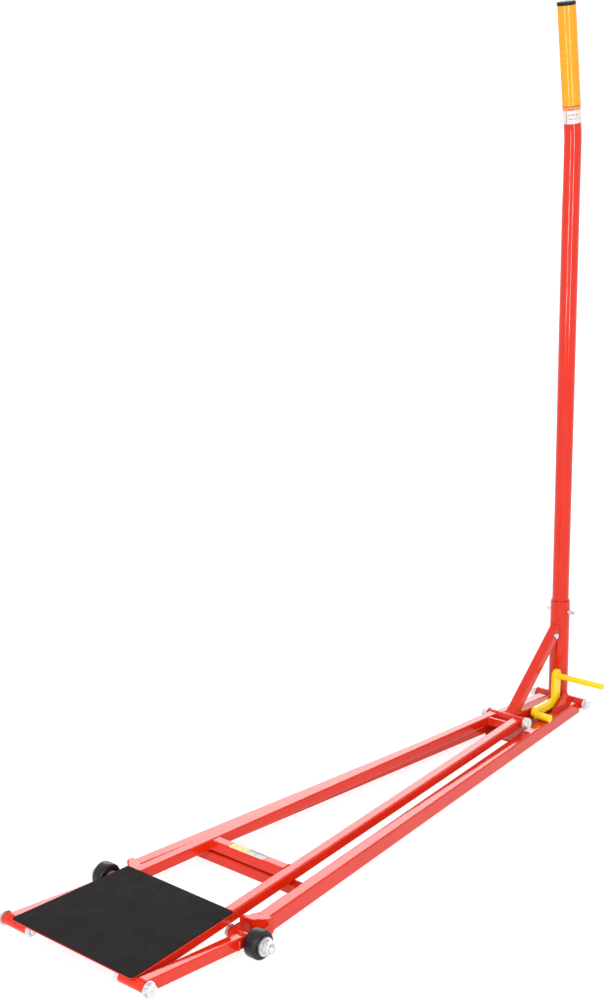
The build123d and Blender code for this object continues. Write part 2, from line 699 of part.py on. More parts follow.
# Foot axle: joins the lifting frame to the lever foot.
foot_head_x = LIFT_SLEEVE_OUTER_X + WASHER_THICKNESS
foot_axle_bolt = hex_bolt_x(foot_head_x, -foot_head_x - NUT_HEIGHT - 2, FOOT_AXLE_Y, FOOT_AXLE_Z)
finish(foot_axle_bolt, "foot_axle_bolt")
foot_axle_nut = hex_nut_x(-foot_head_x - NUT_HEIGHT, -foot_head_x, FOOT_AXLE_Y, FOOT_AXLE_Z)
finish(foot_axle_nut, "foot_axle_nut")
foot_washer = sleeve_x(
    LIFT_SLEEVE_OUTER_X, foot_head_x, FOOT_AXLE_Y, FOOT_AXLE_Z, FOOT_WASHER_RADIUS, BOLT_RADIUS
)
foot_axle_washers = both_sides(foot_washer)
finish(foot_axle_washers, "foot_axle_washers")

# ---------------------------------------------------------------- lever foot
foot_rear_sleeve = sleeve_x(-REAR_FOOT_HALF, REAR_FOOT_HALF, 0, REAR_AXLE_Z, REAR_SLEEVE, bore_radius)
finish(foot_rear_sleeve, "foot_rear_sleeve")
foot_front_sleeve = sleeve_x(
    -FOOT_SLEEVE_HALF, FOOT_SLEEVE_HALF, FOOT_AXLE_Y, FOOT_AXLE_Z, SMALL_SLEEVE, bore_radius
)
finish(foot_front_sleeve, "foot_front_sleeve")

strut_stock = box_tube((0, 0, REAR_AXLE_Z), (0, FOOT_AXLE_Y, FOOT_AXLE_Z), STRUT_WIDTH, STRUT_HEIGHT)
rear_cope = rod_x(-30.0, 30.0, 0, REAR_AXLE_Z, REAR_SLEEVE)
front_cope = rod_x(-30.0, 30.0, FOOT_AXLE_Y, FOOT_AXLE_Z, SMALL_SLEEVE)
with BuildPart() as foot_strut:
    add(strut_stock.part)
    add(rear_cope.part, mode=Mode.SUBTRACT)
    add(front_cope.part, mode=Mode.SUBTRACT)
finish(foot_strut, "foot_strut")

# Everything inside the strut's outline, to cut the socket where it is welded to it.
with BuildPart() as strut_envelope:
    with BuildSketch(tube_plane((0, 0, REAR_AXLE_Z), (0, FOOT_AXLE_Y, FOOT_AXLE_Z))):
        Rectangle(60.0, STRUT_HEIGHT)
    extrude(amount=LINK_RUN + 1)

# The socket stands on the rear sleeve and the strut, and takes the lever.
lever_direction = lever_point(1.0) - lever_point(0.0)
lever_bore = LEVER_RADIUS + LEVER_FIT


def lever_plane(distance):
    """Plane across the lever's straight part."""
    return Plane(origin=lever_point(distance), x_dir=(1, 0, 0), z_dir=lever_direction)


lock_pin_hole = rod_x(-40.0, 40.0, lever_point(LOCK_PIN_Z).Y, LOCK_PIN_Z, LOCK_PIN_RADIUS + RUNNING_CLEARANCE)
with BuildPart() as socket_tube:
    with BuildSketch(lever_plane(SOCKET_BOTTOM - 6)):
        Circle(SOCKET_RADIUS)
        Circle(lever_bore, mode=Mode.SUBTRACT)
    extrude(amount=SOCKET_TOP - SOCKET_BOTTOM + 6)
    chamfer(socket_tube.faces().sort_by(Axis.Z)[-1].edges(), 0.6)
    add(rear_cope.part, mode=Mode.SUBTRACT)
    add(strut_envelope.part, mode=Mode.SUBTRACT)
    with BuildSketch(Plane.XY.offset(SOCKET_BOTTOM - 30)):
        Rectangle(120, 120)
    extrude(amount=30, mode=Mode.SUBTRACT)
    add(lock_pin_hole.part, mode=Mode.SUBTRACT)
finish(socket_tube, "socket_tube")

# A small screw goes through the side of the brace just below its upper weld.
brace_screw_tip_x = BRACE_SIZE / 2 - BRACE_SCREW_DEPTH
brace_screw = hex_bolt_x(
    BRACE_SIZE / 2,
    brace_screw_tip_x,
    BRACE_SCREW_Y,
    BRACE_SCREW_Z,
    BRACE_SCREW_RADIUS,
    flats=10.0,
    height=5.0,
)
finish(brace_screw, "brace_screw")
brace_screw_hole = rod_x(brace_screw_tip_x, BRACE_SIZE, BRACE_SCREW_Y, BRACE_SCREW_Z, BRACE_SCREW_RADIUS)

# The brace runs from the foot axle up to the socket.
brace_angle = math.radians(BRACE_ANGLE)
brace_low = Vector(0, BRACE_LOW_Y, BRACE_LOW_Z)
brace_high = brace_low + Vector(0, math.cos(brace_angle), math.sin(brace_angle)) * BRACE_LENGTH
brace_stock = box_tube(brace_low, brace_high, BRACE_SIZE, BRACE_SIZE)
with BuildPart() as under_strut_top:
    with BuildSketch(tube_plane((0, 0, REAR_AXLE_Z), (0, FOOT_AXLE_Y, FOOT_AXLE_Z))):
        with Locations((0, STRUT_HEIGHT)):
            Rectangle(60.0, 3 * STRUT_HEIGHT)
    extrude(amount=LINK_RUN + 20)
with BuildPart() as socket_envelope:
    with BuildSketch(lever_plane(0.0)):
        with Locations((0, 60)):
            Rectangle(80, 120)
        Circle(SOCKET_RADIUS)
    extrude(amount=400)
with BuildPart() as foot_brace:
    add(brace_stock.part)
    add(socket_envelope.part, mode=Mode.SUBTRACT)
    add(front_cope.part, mode=Mode.SUBTRACT)
    add(under_strut_top.part, mode=Mode.SUBTRACT)
    add(brace_screw_hole.part, mode=Mode.SUBTRACT)
finish(foot_brace, "foot_brace")

# ---------------------------------------------------------------- lever
lever_bend = lever_point(LEVER_BEND)
upper_direction = Vector(0, -math.sin(LEVER_TOP_LEAN), math.cos(LEVER_TOP_LEAN))
lever_top = lever_bend + upper_direction * (LEVER_TOP - LEVER_BEND)


def upper_plane(distance):
    """Plane across the lever's upper part, measured along the lever from the floor."""
    origin = lever_bend + upper_direction * (distance - LEVER_BEND)
    return Plane(origin=origin, x_dir=(1, 0, 0), z_dir=upper_direction)


with BuildPart() as lever_tube:
    with BuildLine() as lever_path:
        FilletPolyline(lever_point(LEVER_BOTTOM), lever_bend, lever_top, radius=LEVER_BEND_RADIUS)
    with BuildSketch(lever_plane(LEVER_BOTTOM)):
        Circle(LEVER_RADIUS)
        Circle(LEVER_RADIUS - LEVER_WALL, mode=Mode.SUBTRACT)
    sweep(path=lever_path.line)
    add(lock_pin_hole.part, mode=Mode.SUBTRACT)
finish(lever_tube, "lever_tube")


def lever_collar(start, end, outer_radius, inner_radius):
    """Ring around the upper part of the lever."""
    with BuildPart() as collar:
        with BuildSketch(upper_plane(start)):
            Circle(outer_radius)
            Circle(inner_radius, mode=Mode.SUBTRACT)
        extrude(amount=end - start)
    return collar


grip = lever_collar(GRIP_START, LEVER_TOP, GRIP_RADIUS, LEVER_RADIUS)
with BuildPart() as lever_grip:
    add(grip.part)
    fillet(lever_grip.edges().filter_by(GeomType.CIRCLE).group_by(Axis.Z)[0].sort_by(SortBy.LENGTH)[-1], 0.8)
finish(lever_grip, "lever_grip")
lever_band = lever_collar(BAND_START, GRIP_START - 0.2, LEVER_RADIUS + BAND_THICKNESS, LEVER_RADIUS)
finish(lever_band, "lever_band")
with BuildPart() as grip_cap:
    with BuildSketch(upper_plane(LEVER_TOP)):
        Circle(GRIP_RADIUS - 0.2)
    extrude(amount=GRIP_CAP_HEIGHT)
    fillet(grip_cap.faces().sort_by(Axis.Z)[-1].edges(), 1.5)
    with BuildSketch(upper_plane(LEVER_TOP)):
        Circle(LEVER_RADIUS - LEVER_WALL)
    extrude(amount=-GRIP_CAP_DEPTH)
finish(grip_cap, "grip_cap")

# ---------------------------------------------------------------- lock pin and its pull ring
lock_pin_y = lever_point(LOCK_PIN_Z).Y
with BuildPart() as lock_pin:
    with BuildSketch(Plane.XY.offset(LOCK_PIN_Z)):
        with BuildLine():
            Polyline(
                (PIN_TIP_X, lock_pin_y),
                (PIN_TIP_X, lock_pin_y + PIN_TIP_RADIUS),
                (PIN_TIP_X + 2.0, lock_pin_y + LOCK_PIN_RADIUS),
                (PIN_HEAD_X, lock_pin_y + LOCK_PIN_RADIUS),
                (PIN_HEAD_X, lock_pin_y + PIN_HEAD_RADIUS),
                (PIN_HEAD_X + PIN_HEAD_LENGTH, lock_pin_y + PIN_HEAD_RADIUS),
                (PIN_HEAD_X + PIN_HEAD_LENGTH, lock_pin_y + PIN_NECK_RADIUS),
                (PIN_NECK_END_X, lock_pin_y + PIN_NECK_RADIUS),
                (PIN_NECK_END_X, lock_pin_y),
                close=True,
            )
        make_face()
    revolve(axis=Axis((0, lock_pin_y, LOCK_PIN_Z), (1, 0, 0)))
    with Locations(Location((RING_HOLE_X, lock_pin_y, LOCK_PIN_Z), (90, 0, 0))):
        Cylinder(RING_HOLE_RADIUS, 4 * PIN_NECK_RADIUS, mode=Mode.SUBTRACT)
finish(lock_pin, "lock_pin")

ring_centre = (
    RING_HOLE_X + RING_RADIUS * math.cos(RING_TILT),
    lock_pin_y,
    LOCK_PIN_Z + RING_RADIUS * math.sin(RING_TILT),
)
ring_plane = Plane(origin=ring_centre, x_dir=(0, 1, 0), z_dir=(-math.sin(RING_TILT), 0, math.cos(RING_TILT)))
with BuildPart() as pull_ring:
    with Locations(ring_plane.location):
        Torus(RING_RADIUS, RING_WIRE)
finish(pull_ring, "pull_ring")

# ---------------------------------------------------------------- catch
# An L-shaped flat bar with a pedal rod at the top and a stop bar at the front end.
stop_bar_z = outer_middle_z(CATCH_FRONT_Y) + OUTER_HEIGHT / 2 + STOP_BAR_RADIUS + STOP_BAR_LIFT
arm_middle_z = (CATCH_LOW_Z + CATCH_ARM_TOP_Z) / 2
bore_side_y = CATCH_PIVOT_Y + PIVOT_PIN_RADIUS + RUNNING_CLEARANCE
countersink_y = CATCH_PIVOT_Y + PIVOT_HEAD_RADIUS + 0.4
with BuildPart() as catch_lever:
    with BuildSketch(Plane.YZ.offset(CATCH_X)) as catch_outline:
        with Locations((CATCH_TOP_Y, CATCH_TOP_Z)):
            Circle(CATCH_HALF)
        with Locations((CATCH_TOP_Y, (CATCH_TOP_Z + CATCH_LOW_Z) / 2)):
            Rectangle(2 * CATCH_HALF, CATCH_TOP_Z - CATCH_LOW_Z)
        with Locations(((CATCH_TOP_Y + CATCH_FRONT_Y) / 2, arm_middle_z)):
            Rectangle(CATCH_TOP_Y - CATCH_FRONT_Y, CATCH_ARM_TOP_Z - CATCH_LOW_Z)
        with Locations((CATCH_FRONT_Y, arm_middle_z)):
            Circle((CATCH_ARM_TOP_Z - CATCH_LOW_Z) / 2)
        with Locations((CATCH_PIVOT_Y, CATCH_PIVOT_Z)):
            Circle(CATCH_HUB_RADIUS)
        inner_corner = catch_outline.vertices().filter_by(
            lambda v: abs(v.Y - CATCH_TOP_Y + CATCH_HALF) < 0.1 and abs(v.Z - CATCH_ARM_TOP_Z) < 0.1
        )
        fillet(inner_corner, CATCH_INNER_CORNER)
    extrude(amount=CATCH_THICKNESS)
    chamfer(catch_lever.faces().filter_by(Axis.X).edges(), 0.8)
    with BuildSketch(Plane.XY.offset(CATCH_PIVOT_Z)):
        with BuildLine():
            Polyline(
                (CATCH_X - 1, CATCH_PIVOT_Y),
                (CATCH_X - 1, countersink_y),
                (CATCH_X + 0.2, countersink_y),
                (CATCH_X + 3.0, bore_side_y),
                (catch_outer_x + 1, bore_side_y),
                (catch_outer_x + 1, CATCH_PIVOT_Y),
                close=True,
            )
        make_face()
    revolve(axis=Axis((0, CATCH_PIVOT_Y, CATCH_PIVOT_Z), (1, 0, 0)), mode=Mode.SUBTRACT)
finish(catch_lever, "catch_lever")


def catch_rod(y, z, radius, end_x):
    """Round bar that sticks out from the catch lever's outer face."""
    with BuildPart() as rod:
        with BuildSketch(Plane.YZ.offset(catch_outer_x)):
            with Locations((y, z)):
                Circle(radius)
        extrude(amount=end_x - catch_outer_x)
        fillet(rod.faces().sort_by(Axis.X)[-1].edges(), ROD_END_FILLET)
    return rod


catch_pedal = catch_rod(CATCH_TOP_Y, PEDAL_Z, PEDAL_RADIUS, PEDAL_END_X)
finish(catch_pedal, "catch_pedal")
catch_stop_bar = catch_rod(CATCH_FRONT_Y, stop_bar_z, STOP_BAR_RADIUS, STOP_BAR_END_X)
finish(catch_stop_bar, "catch_stop_bar")
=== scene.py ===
import json
import math
import random

import bpy
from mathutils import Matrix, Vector, noise


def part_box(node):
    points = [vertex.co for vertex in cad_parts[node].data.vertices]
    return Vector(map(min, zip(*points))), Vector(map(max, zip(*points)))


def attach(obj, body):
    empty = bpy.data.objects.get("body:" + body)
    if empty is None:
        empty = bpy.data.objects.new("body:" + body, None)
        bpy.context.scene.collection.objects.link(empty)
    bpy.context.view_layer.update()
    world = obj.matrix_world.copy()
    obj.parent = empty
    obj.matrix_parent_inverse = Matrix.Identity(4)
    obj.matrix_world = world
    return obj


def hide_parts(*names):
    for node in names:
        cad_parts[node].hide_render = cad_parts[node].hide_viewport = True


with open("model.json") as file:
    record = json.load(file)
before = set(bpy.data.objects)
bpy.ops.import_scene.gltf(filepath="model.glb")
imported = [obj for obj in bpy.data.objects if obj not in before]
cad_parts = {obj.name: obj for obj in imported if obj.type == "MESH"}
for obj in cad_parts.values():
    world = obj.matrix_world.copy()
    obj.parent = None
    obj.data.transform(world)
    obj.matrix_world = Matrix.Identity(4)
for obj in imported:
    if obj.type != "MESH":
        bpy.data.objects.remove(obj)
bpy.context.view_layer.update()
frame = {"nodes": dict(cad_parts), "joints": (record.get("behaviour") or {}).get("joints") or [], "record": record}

# Looks for a low-profile lever jack: glossy red box tubes, zinc-plated fasteners, black rubber pad and
# rollers, a yellow catch and a long lever with an orange-yellow grip. Everything is in metres, in the
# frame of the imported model: X across the jack, -Y towards the pad, +Z up.

MM = 0.001
TURN = 2 * math.pi
SIDES = (("right", 1), ("left", -1))


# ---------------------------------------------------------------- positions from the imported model
def node_box(node):
    """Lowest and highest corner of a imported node, as vectors."""
    low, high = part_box(node)
    return Vector(low), Vector(high)


def axle(node):
    """(y, z) of the axle that a bolt node lies on."""
    low, high = node_box(node)
    return (low.y + high.y) / 2, (low.z + high.z) / 2


REAR_Y, REAR_Z = axle("rear_axle_bolt")
FOOT_Y, FOOT_Z = axle("foot_axle_bolt")
ROLLER_Y, ROLLER_Z = axle("roller_left")
PAD_Y, PAD_Z = axle("pad_axle_bolts")


# ---------------------------------------------------------------- materials
class Nodes:
    """A material's node tree with short calls to add and join nodes."""

    def __init__(self, name):
        self.material = bpy.data.materials.new(name)
        self.material.use_nodes = True
        self.tree = self.material.node_tree
        self.tree.nodes.clear()
        self.output = self.tree.nodes.new("ShaderNodeOutputMaterial")
        self.shader = self.tree.nodes.new("ShaderNodeBsdfPrincipled")
        self.tree.links.new(self.shader.outputs[0], self.output.inputs["Surface"])
        self.place = self.tree.nodes.new("ShaderNodeTexCoord").outputs["Object"]

    def add(self, kind, **settings):
        """New node of a kind, with its properties set."""
        node = self.tree.nodes.new(kind)
        for key, value in settings.items():
            setattr(node, key, value)
        return node

    def put(self, socket, value):
        """Joins an output to a socket, or sets the socket's constant."""
        if isinstance(value, bpy.types.NodeSocket):
            self.tree.links.new(value, socket)
        elif isinstance(value, tuple) and len(value) == 3 and socket.type == "RGBA":
            socket.default_value = (*value, 1.0)
        else:
            socket.default_value = value

    def noise(self, scale, detail=3.0, roughness=0.5, stretch=None):
        """Cloudy noise, 0 to 1, that may be stretched by a factor along each axis."""
        place = self.place
        if stretch is not None:
            mapping = self.add("ShaderNodeMapping")
            self.put(mapping.inputs["Vector"], place)
            mapping.inputs["Scale"].default_value = stretch
            place = mapping.outputs[0]
        texture = self.add("ShaderNodeTexNoise")
        self.put(texture.inputs["Vector"], place)
        texture.inputs["Scale"].default_value = scale
        texture.inputs["Detail"].default_value = detail
        texture.inputs["Roughness"].default_value = roughness
        return texture.outputs["Fac"]

    def cells(self, scale):
        """Distance to the nearest of a field of scattered points."""
        texture = self.add("ShaderNodeTexVoronoi", feature="F1")
        self.put(texture.inputs["Vector"], self.place)
        texture.inputs["Scale"].default_value = scale
        return texture.outputs["Distance"]

    def ramp(self, value, low, high, out_low=0.0, out_high=1.0):
        """Maps low..high to out_low..out_high, held at both ends."""
        node = self.add("ShaderNodeMapRange")
        self.put(node.inputs["Value"], value)
        node.inputs["From Min"].default_value = low
        node.inputs["From Max"].default_value = high
        node.inputs["To Min"].default_value = out_low
        node.inputs["To Max"].default_value = out_high
        return node.outputs["Result"]

    def math(self, operation, first, second):
        node = self.add("ShaderNodeMath", operation=operation)
        self.put(node.inputs[0], first)
        self.put(node.inputs[1], second)
        return node.outputs[0]

    def mix(self, factor, first, second):
        node = self.add("ShaderNodeMix", data_type="RGBA")
        self.put(node.inputs["Factor"], factor)
        self.put(node.inputs["A"], first)
        self.put(node.inputs["B"], second)
        return node.outputs["Result"]

    def edges(self, radius):
        """1 on edges, 0 on flat faces."""
        spread = 0.35
        bevel = self.add("ShaderNodeBevel", samples=6)
        bevel.inputs["Radius"].default_value = radius
        geometry = self.add("ShaderNodeNewGeometry")
        dot = self.add("ShaderNodeVectorMath", operation="DOT_PRODUCT")
        self.put(dot.inputs[0], bevel.outputs[0])
        self.put(dot.inputs[1], geometry.outputs["Normal"])
        return self.ramp(dot.outputs["Value"], 1.0 - spread, 1.0, 1.0, 0.0)

    def surface(self, height, strength, distance=0.001, radius=0.0):
        """Bump from a height, over edges that look rounded by a radius."""
        bump = self.add("ShaderNodeBump")
        bump.inputs["Strength"].default_value = strength
        bump.inputs["Distance"].default_value = distance
        self.put(bump.inputs["Height"], height)
        if radius > 0.0:
            bevel = self.add("ShaderNodeBevel", samples=6)
            bevel.inputs["Radius"].default_value = radius
            self.put(bump.inputs["Normal"], bevel.outputs[0])
        self.put(self.shader.inputs["Normal"], bump.outputs[0])

    def set(self, **values):
        """Sets inputs of the surface shader, with underscores for the spaces in their names."""
        for key, value in values.items():
            self.put(self.shader.inputs[key.replace("_", " ")], value)


def paint(name, colour, deep, edge_radius, dull=0.0):
    """Glossy enamel with orange peel, a slightly uneven coat and light wear on its edges."""
    n = Nodes(name)
    cloud = n.noise(9.0, detail=2.0)
    tone = n.mix(n.ramp(cloud, 0.3, 0.7), colour, deep)
    scuff = n.math("MULTIPLY", n.edges(0.0012), n.ramp(n.noise(160.0, detail=6.0), 0.56, 0.74))
    worn = n.mix(n.math("MULTIPLY", scuff, 0.25), tone, tuple(0.6 * c + 0.10 for c in colour))
    gloss = n.ramp(n.noise(40.0, detail=5.0, roughness=0.6), 0.3, 0.75, 0.06 + dull, 0.15 + dull)
    n.set(Base_Color=worn, Roughness=n.math("ADD", gloss, n.math("MULTIPLY", scuff, 0.3)))
    n.set(Specular_IOR_Level=0.38 - 0.6 * dull)
    wave = n.noise(140.0, detail=2.0)
    peel = n.math("MULTIPLY", n.noise(620.0, detail=2.0), 0.22)
    n.surface(n.math("ADD", wave, peel), 0.09, distance=0.0006, radius=edge_radius)
    return n.material


def zinc(name):
    """Bright zinc plate: pale grey, faintly mottled, with fine turning marks."""
    n = Nodes(name)
    mottle = n.ramp(n.noise(220.0, detail=5.0, roughness=0.65), 0.35, 0.7)
    tone = n.mix(mottle, (0.74, 0.75, 0.76), (0.56, 0.57, 0.59))
    grime = n.math("MULTIPLY", n.ramp(n.noise(70.0, detail=6.0), 0.6, 0.8), 0.35)
    n.set(Base_Color=n.mix(grime, tone, (0.36, 0.34, 0.31)), Metallic=0.85)
    n.set(Roughness=n.ramp(n.noise(500.0, detail=4.0), 0.3, 0.7, 0.28, 0.48))
    turned = n.noise(60.0, detail=2.0, stretch=(1.0, 40.0, 40.0))
    height = n.math("ADD", n.math("MULTIPLY", turned, 0.5), n.noise(2600.0, detail=2.0))
    n.surface(height, 0.14, distance=0.0003, radius=0.0003)
    return n.material


def rubber(name, colour, dusty, roughness, grain_scale, grain_strength, specular):
    """Black rubber with a fine grain, small pits and a little dust."""
    n = Nodes(name)
    cloud = n.ramp(n.noise(14.0, detail=5.0, roughness=0.6), 0.35, 0.75)
    speck = n.ramp(n.noise(900.0, detail=3.0), 0.62, 0.78)
    tone = n.mix(n.math("MULTIPLY", cloud, 0.6), colour, dusty)
    n.set(Base_Color=n.mix(n.math("MULTIPLY", speck, 0.35), tone, dusty))
    n.set(Roughness=n.ramp(n.noise(60.0, detail=6.0), 0.3, 0.7, roughness - 0.07, roughness + 0.08))
    fine = n.noise(grain_scale, detail=4.0)
    grain = n.math("ADD", fine, n.math("MULTIPLY", n.cells(grain_scale * 0.55), 0.6))
    n.set(Specular_IOR_Level=specular)
    n.surface(grain, grain_strength, distance=0.0005)
    return n.material


def vinyl(name, colour, deep):
    """Dipped vinyl grip: glossy, a little uneven lengthways."""
    n = Nodes(name)
    streak = n.noise(18.0, detail=3.0, stretch=(1.0, 1.0, 0.12))
    n.set(Base_Color=n.mix(n.ramp(streak, 0.3, 0.7), colour, deep))
    n.set(Roughness=n.ramp(n.noise(80.0, detail=5.0), 0.3, 0.7, 0.12, 0.2))
    n.set(Specular_IOR_Level=0.35, Subsurface_Weight=0.03)
    swell = n.noise(45.0, detail=2.0, stretch=(1.0, 1.0, 0.2))
    height = n.math("ADD", swell, n.math("MULTIPLY", n.noise(1200.0), 0.06))
    n.surface(height, 0.12, distance=0.001)
    return n.material


class Mark:
    """Rectangle printed on a film, between two pairs of distances in metres.

    blocks is the scale of the noise that breaks it into blots, or 0 for a plain rectangle.
    """

    def __init__(self, across, along, colour, blocks):
        self.across = across
        self.along = along
        self.colour = colour
        self.blocks = blocks


def printed_film(name, base, across, along, marks):
    """Printed film. Marks are placed by their distance across and along two directions, in metres."""
    n = Nodes(name)

    def distance(direction):
        dot = n.add("ShaderNodeVectorMath", operation="DOT_PRODUCT")
        n.put(dot.inputs[0], n.place)
        dot.inputs[1].default_value = direction
        return dot.outputs["Value"]

    def between(value, limits):
        above = n.math("GREATER_THAN", value, limits[0])
        below = n.math("LESS_THAN", value, limits[1])
        return n.math("MULTIPLY", above, below)

    u = distance(across)
    v = distance(along)
    mottle = n.ramp(n.noise(120.0, detail=4.0), 0.3, 0.7, 0.0, 0.5)
    tone = n.mix(mottle, base, tuple(0.85 * c for c in base))
    for mark in marks:
        inside = n.math("MULTIPLY", between(u, mark.across), between(v, mark.along))
        if mark.blocks > 0.0:
            inside = n.math("MULTIPLY", inside, n.ramp(n.noise(mark.blocks, detail=1.0), 0.44, 0.50))
        tone = n.mix(inside, tone, mark.colour)
    n.set(Base_Color=tone, Roughness=n.ramp(n.noise(90.0, detail=4.0), 0.3, 0.7, 0.3, 0.45))
    n.surface(n.noise(700.0, detail=3.0), 0.08, distance=0.0003)
    return n.material


RED = paint("red_enamel", colour=(0.585, 0.018, 0.003), deep=(0.54, 0.014, 0.002), edge_radius=0.0012)
# Duller, darker copy of the red for the floor plate: the duller finish is dust, and the darker colour is painted
# shade for the plate lying in shade between the tubes.
RED_DULL_SHADED = paint(
    "red_enamel_dusty_painted_shade",
    colour=(0.50, 0.014, 0.003),
    deep=(0.45, 0.010, 0.002),
    edge_radius=0.0012,
    dull=0.35,
)
RED_BEAD = paint(
    "red_enamel_on_weld",
    colour=(0.57, 0.017, 0.003),
    deep=(0.50, 0.013, 0.002),
    edge_radius=0.0,
)
YELLOW = paint("yellow_enamel", colour=(0.80, 0.57, 0.006), deep=(0.77, 0.53, 0.005), edge_radius=0.0007)
ZINC = zinc("zinc_plate")
PAD_RUBBER = rubber(
    "pad_rubber",
    colour=(0.0145, 0.0125, 0.0130),
    dusty=(0.021, 0.018, 0.018),
    roughness=0.80,
    grain_scale=850.0,
    grain_strength=0.35,
    specular=0.05,
)
ROLLER_RUBBER = rubber(
    "roller_rubber",
    colour=(0.007, 0.005, 0.007),
    dusty=(0.016, 0.014, 0.015),
    roughness=0.30,
    grain_scale=1400.0,
    grain_strength=0.14,
    specular=0.3,
)
CAP_RUBBER = rubber(
    "cap_rubber",
    colour=(0.010, 0.008, 0.009),
    dusty=(0.020, 0.018, 0.018),
    roughness=0.45,
    grain_scale=1500.0,
    grain_strength=0.15,
    specular=0.15,
)
GRIP_VINYL = vinyl("grip_vinyl", colour=(0.74, 0.30, 0.004), deep=(0.70, 0.26, 0.003))


# ---------------------------------------------------------------- mesh building
class Shape:
    """Collects vertices and faces of one mesh object."""

    def __init__(self):
        self.points = []
        self.faces = []

    def rings(self, rings, closed=False):
        """Skin over rings of equally many points. The ends are capped, or joined to each other if closed."""
        base = len(self.points)
        count = len(rings[0])
        for ring in rings:
            self.points.extend(ring)
        steps = len(rings) if closed else len(rings) - 1
        for i in range(steps):
            here = base + i * count
            there = base + ((i + 1) % len(rings)) * count
            for j in range(count):
                k = (j + 1) % count
                self.faces.append((here + j, here + k, there + k, there + j))
        if not closed:
            self.fan(rings[0], base, flip=True)
            self.fan(rings[-1], base + (len(rings) - 1) * count, flip=False)

    def fan(self, ring, start, flip):
        """Closes a ring with a fan about its middle."""
        middle = sum((Vector(p) for p in ring), Vector()) / len(ring)
        centre = len(self.points)
        self.points.append(middle)
        for j in range(len(ring)):
            k = (j + 1) % len(ring)
            face = (start + k, start + j, centre) if flip else (start + j, start + k, centre)
            self.faces.append(face)

    def build(self, name, material, body, slot, sharp):
        """Makes the object, with smooth faces and sharp edges where they turn by more than an angle."""
        mesh = bpy.data.meshes.new(name)
        mesh.from_pydata([tuple(p) for p in self.points], [], self.faces)
        mesh.update()
        mesh.polygons.foreach_set("use_smooth", [True] * len(mesh.polygons))
        mesh.set_sharp_from_angle(angle=math.radians(sharp))
        mesh.materials.append(material)
        thing = bpy.data.objects.new(name, mesh)
        bpy.context.scene.collection.objects.link(thing)
        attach(thing, body)
        return thing


def turned(shape, origin, axis, side, profile, segments, section=None, closed=False):
    """Solid of revolution. profile holds (along, radius); section may change the radius by angle.

    A closed profile joins its last point to its first, which leaves a bore through the middle.
    """
    axis = Vector(axis).normalized()
    side = Vector(side).normalized()
    third = axis.cross(side)
    rings = []
    for along, radius in profile:
        ring = []
        for j in range(segments):
            angle = TURN * j / segments
            r = section(along, angle, radius) if section else radius
            point = origin + axis * along + side * (r * math.cos(angle))
            ring.append(point + third * (r * math.sin(angle)))
        rings.append(ring)
    shape.rings(rings, closed=closed)


# Facets round a hexagon head, a bolt's shank, and a roller.
HEX_SEGMENTS = 72
SHANK_SEGMENTS = 48
ROLLER_SEGMENTS = 96


def hexagon(flats):
    """Section that trims a round profile to a hexagon with a given width across its flats."""

    def section(along, angle, radius):
        sixth = TURN / 6
        off_middle = (angle % sixth) - sixth / 2
        return min(radius, flats / 2 / math.cos(off_middle))

    return section


def thread(pitch, depth):
    """Section that cuts a screw thread into a round profile."""

    def section(along, angle, radius):
        phase = (along / pitch - angle / TURN) % 1.0
        return radius - depth * abs(2 * phase - 1)

    return section


def hex_profile(height, flats, both_ends):
    """Round envelope of a hexagon head or nut, with its corners cut back by a 30 degree cone.

    The cone is at the far end, and at the near end too if both_ends; else that edge is only broken.
    """
    broken_edge = 0.0004
    corner = flats / 2 / math.cos(TURN / 12)
    circle = flats / 2 * 0.94
    drop = (corner - circle) * math.tan(math.radians(30))
    steps = 5
    profile = []
    for i in range(steps + 1):
        t = i / steps
        along = t * drop if both_ends else t * broken_edge
        radius = circle + (corner - circle) * t if both_ends else corner - (1 - t) * broken_edge
        profile.append((along, radius))
    for i in range(steps + 1):
        t = i / steps
        profile.append((height - drop + t * drop, corner - (corner - circle) * t))
    return profile


def add_head(shape, x, y, z, outward, flats, height):
    """Bolt head that starts at x and grows outward along X, with a shallow dish in its face."""
    profile = hex_profile(height, flats, both_ends=False)
    circle = profile[-1][1]
    profile += [(height, circle * 0.82), (height - 0.00035, circle * 0.72), (height - 0.0004, circle * 0.3)]
    turned(shape, Vector((x, y, z)), (outward, 0, 0), (0, 1, 0), profile, HEX_SEGMENTS, hexagon(flats))


def add_nut(shape, x, y, z, outward, flats, height, bore):
    """Nut with both faces chamfered and a countersink. Its bore is closed where the bolt fills it."""
    profile = [(0.0, bore * 1.02)] + hex_profile(height, flats, both_ends=True)
    profile += [(height, bore * 1.16), (height - 0.0008, bore * 1.01)]
    turned(shape, Vector((x, y, z)), (outward, 0, 0), (0, 1, 0), profile, HEX_SEGMENTS, hexagon(flats))


def add_shank(shape, x_from, x_to, y, z, radius):
    """Plain part of a bolt along X."""
    length = abs(x_to - x_from)
    outward = 1 if x_to > x_from else -1
    profile = [(0, radius), (length, radius)]
    turned(shape, Vector((x_from, y, z)), (outward, 0, 0), (0, 1, 0), profile, SHANK_SEGMENTS)


def add_threads(shape, x_from, x_to, y, z, radius, pitch):
    """Threaded end of a bolt, with a chamfered tip."""
    length = abs(x_to - x_from)
    outward = 1 if x_to > x_from else -1
    tip_chamfer = 0.0012
    steps = max(2, int(length / pitch * 8))
    profile = []
    for i in range(steps + 1):
        along = length * i / steps
        near_tip = max(0.0, along - (length - tip_chamfer))
        profile.append((along, radius - near_tip * 0.9))
    depth = pitch * 0.42
    section = thread(pitch, depth)
    turned(shape, Vector((x_from, y, z)), (outward, 0, 0), (0, 1, 0), profile, SHANK_SEGMENTS, section)


# ---------------------------------------------------------------- welds
BEAD_SIDES = 12
BEAD_STEP = 0.42  # between rings, in bead radii
RIPPLE_PITCH = 1.55  # between ripples, in bead radii


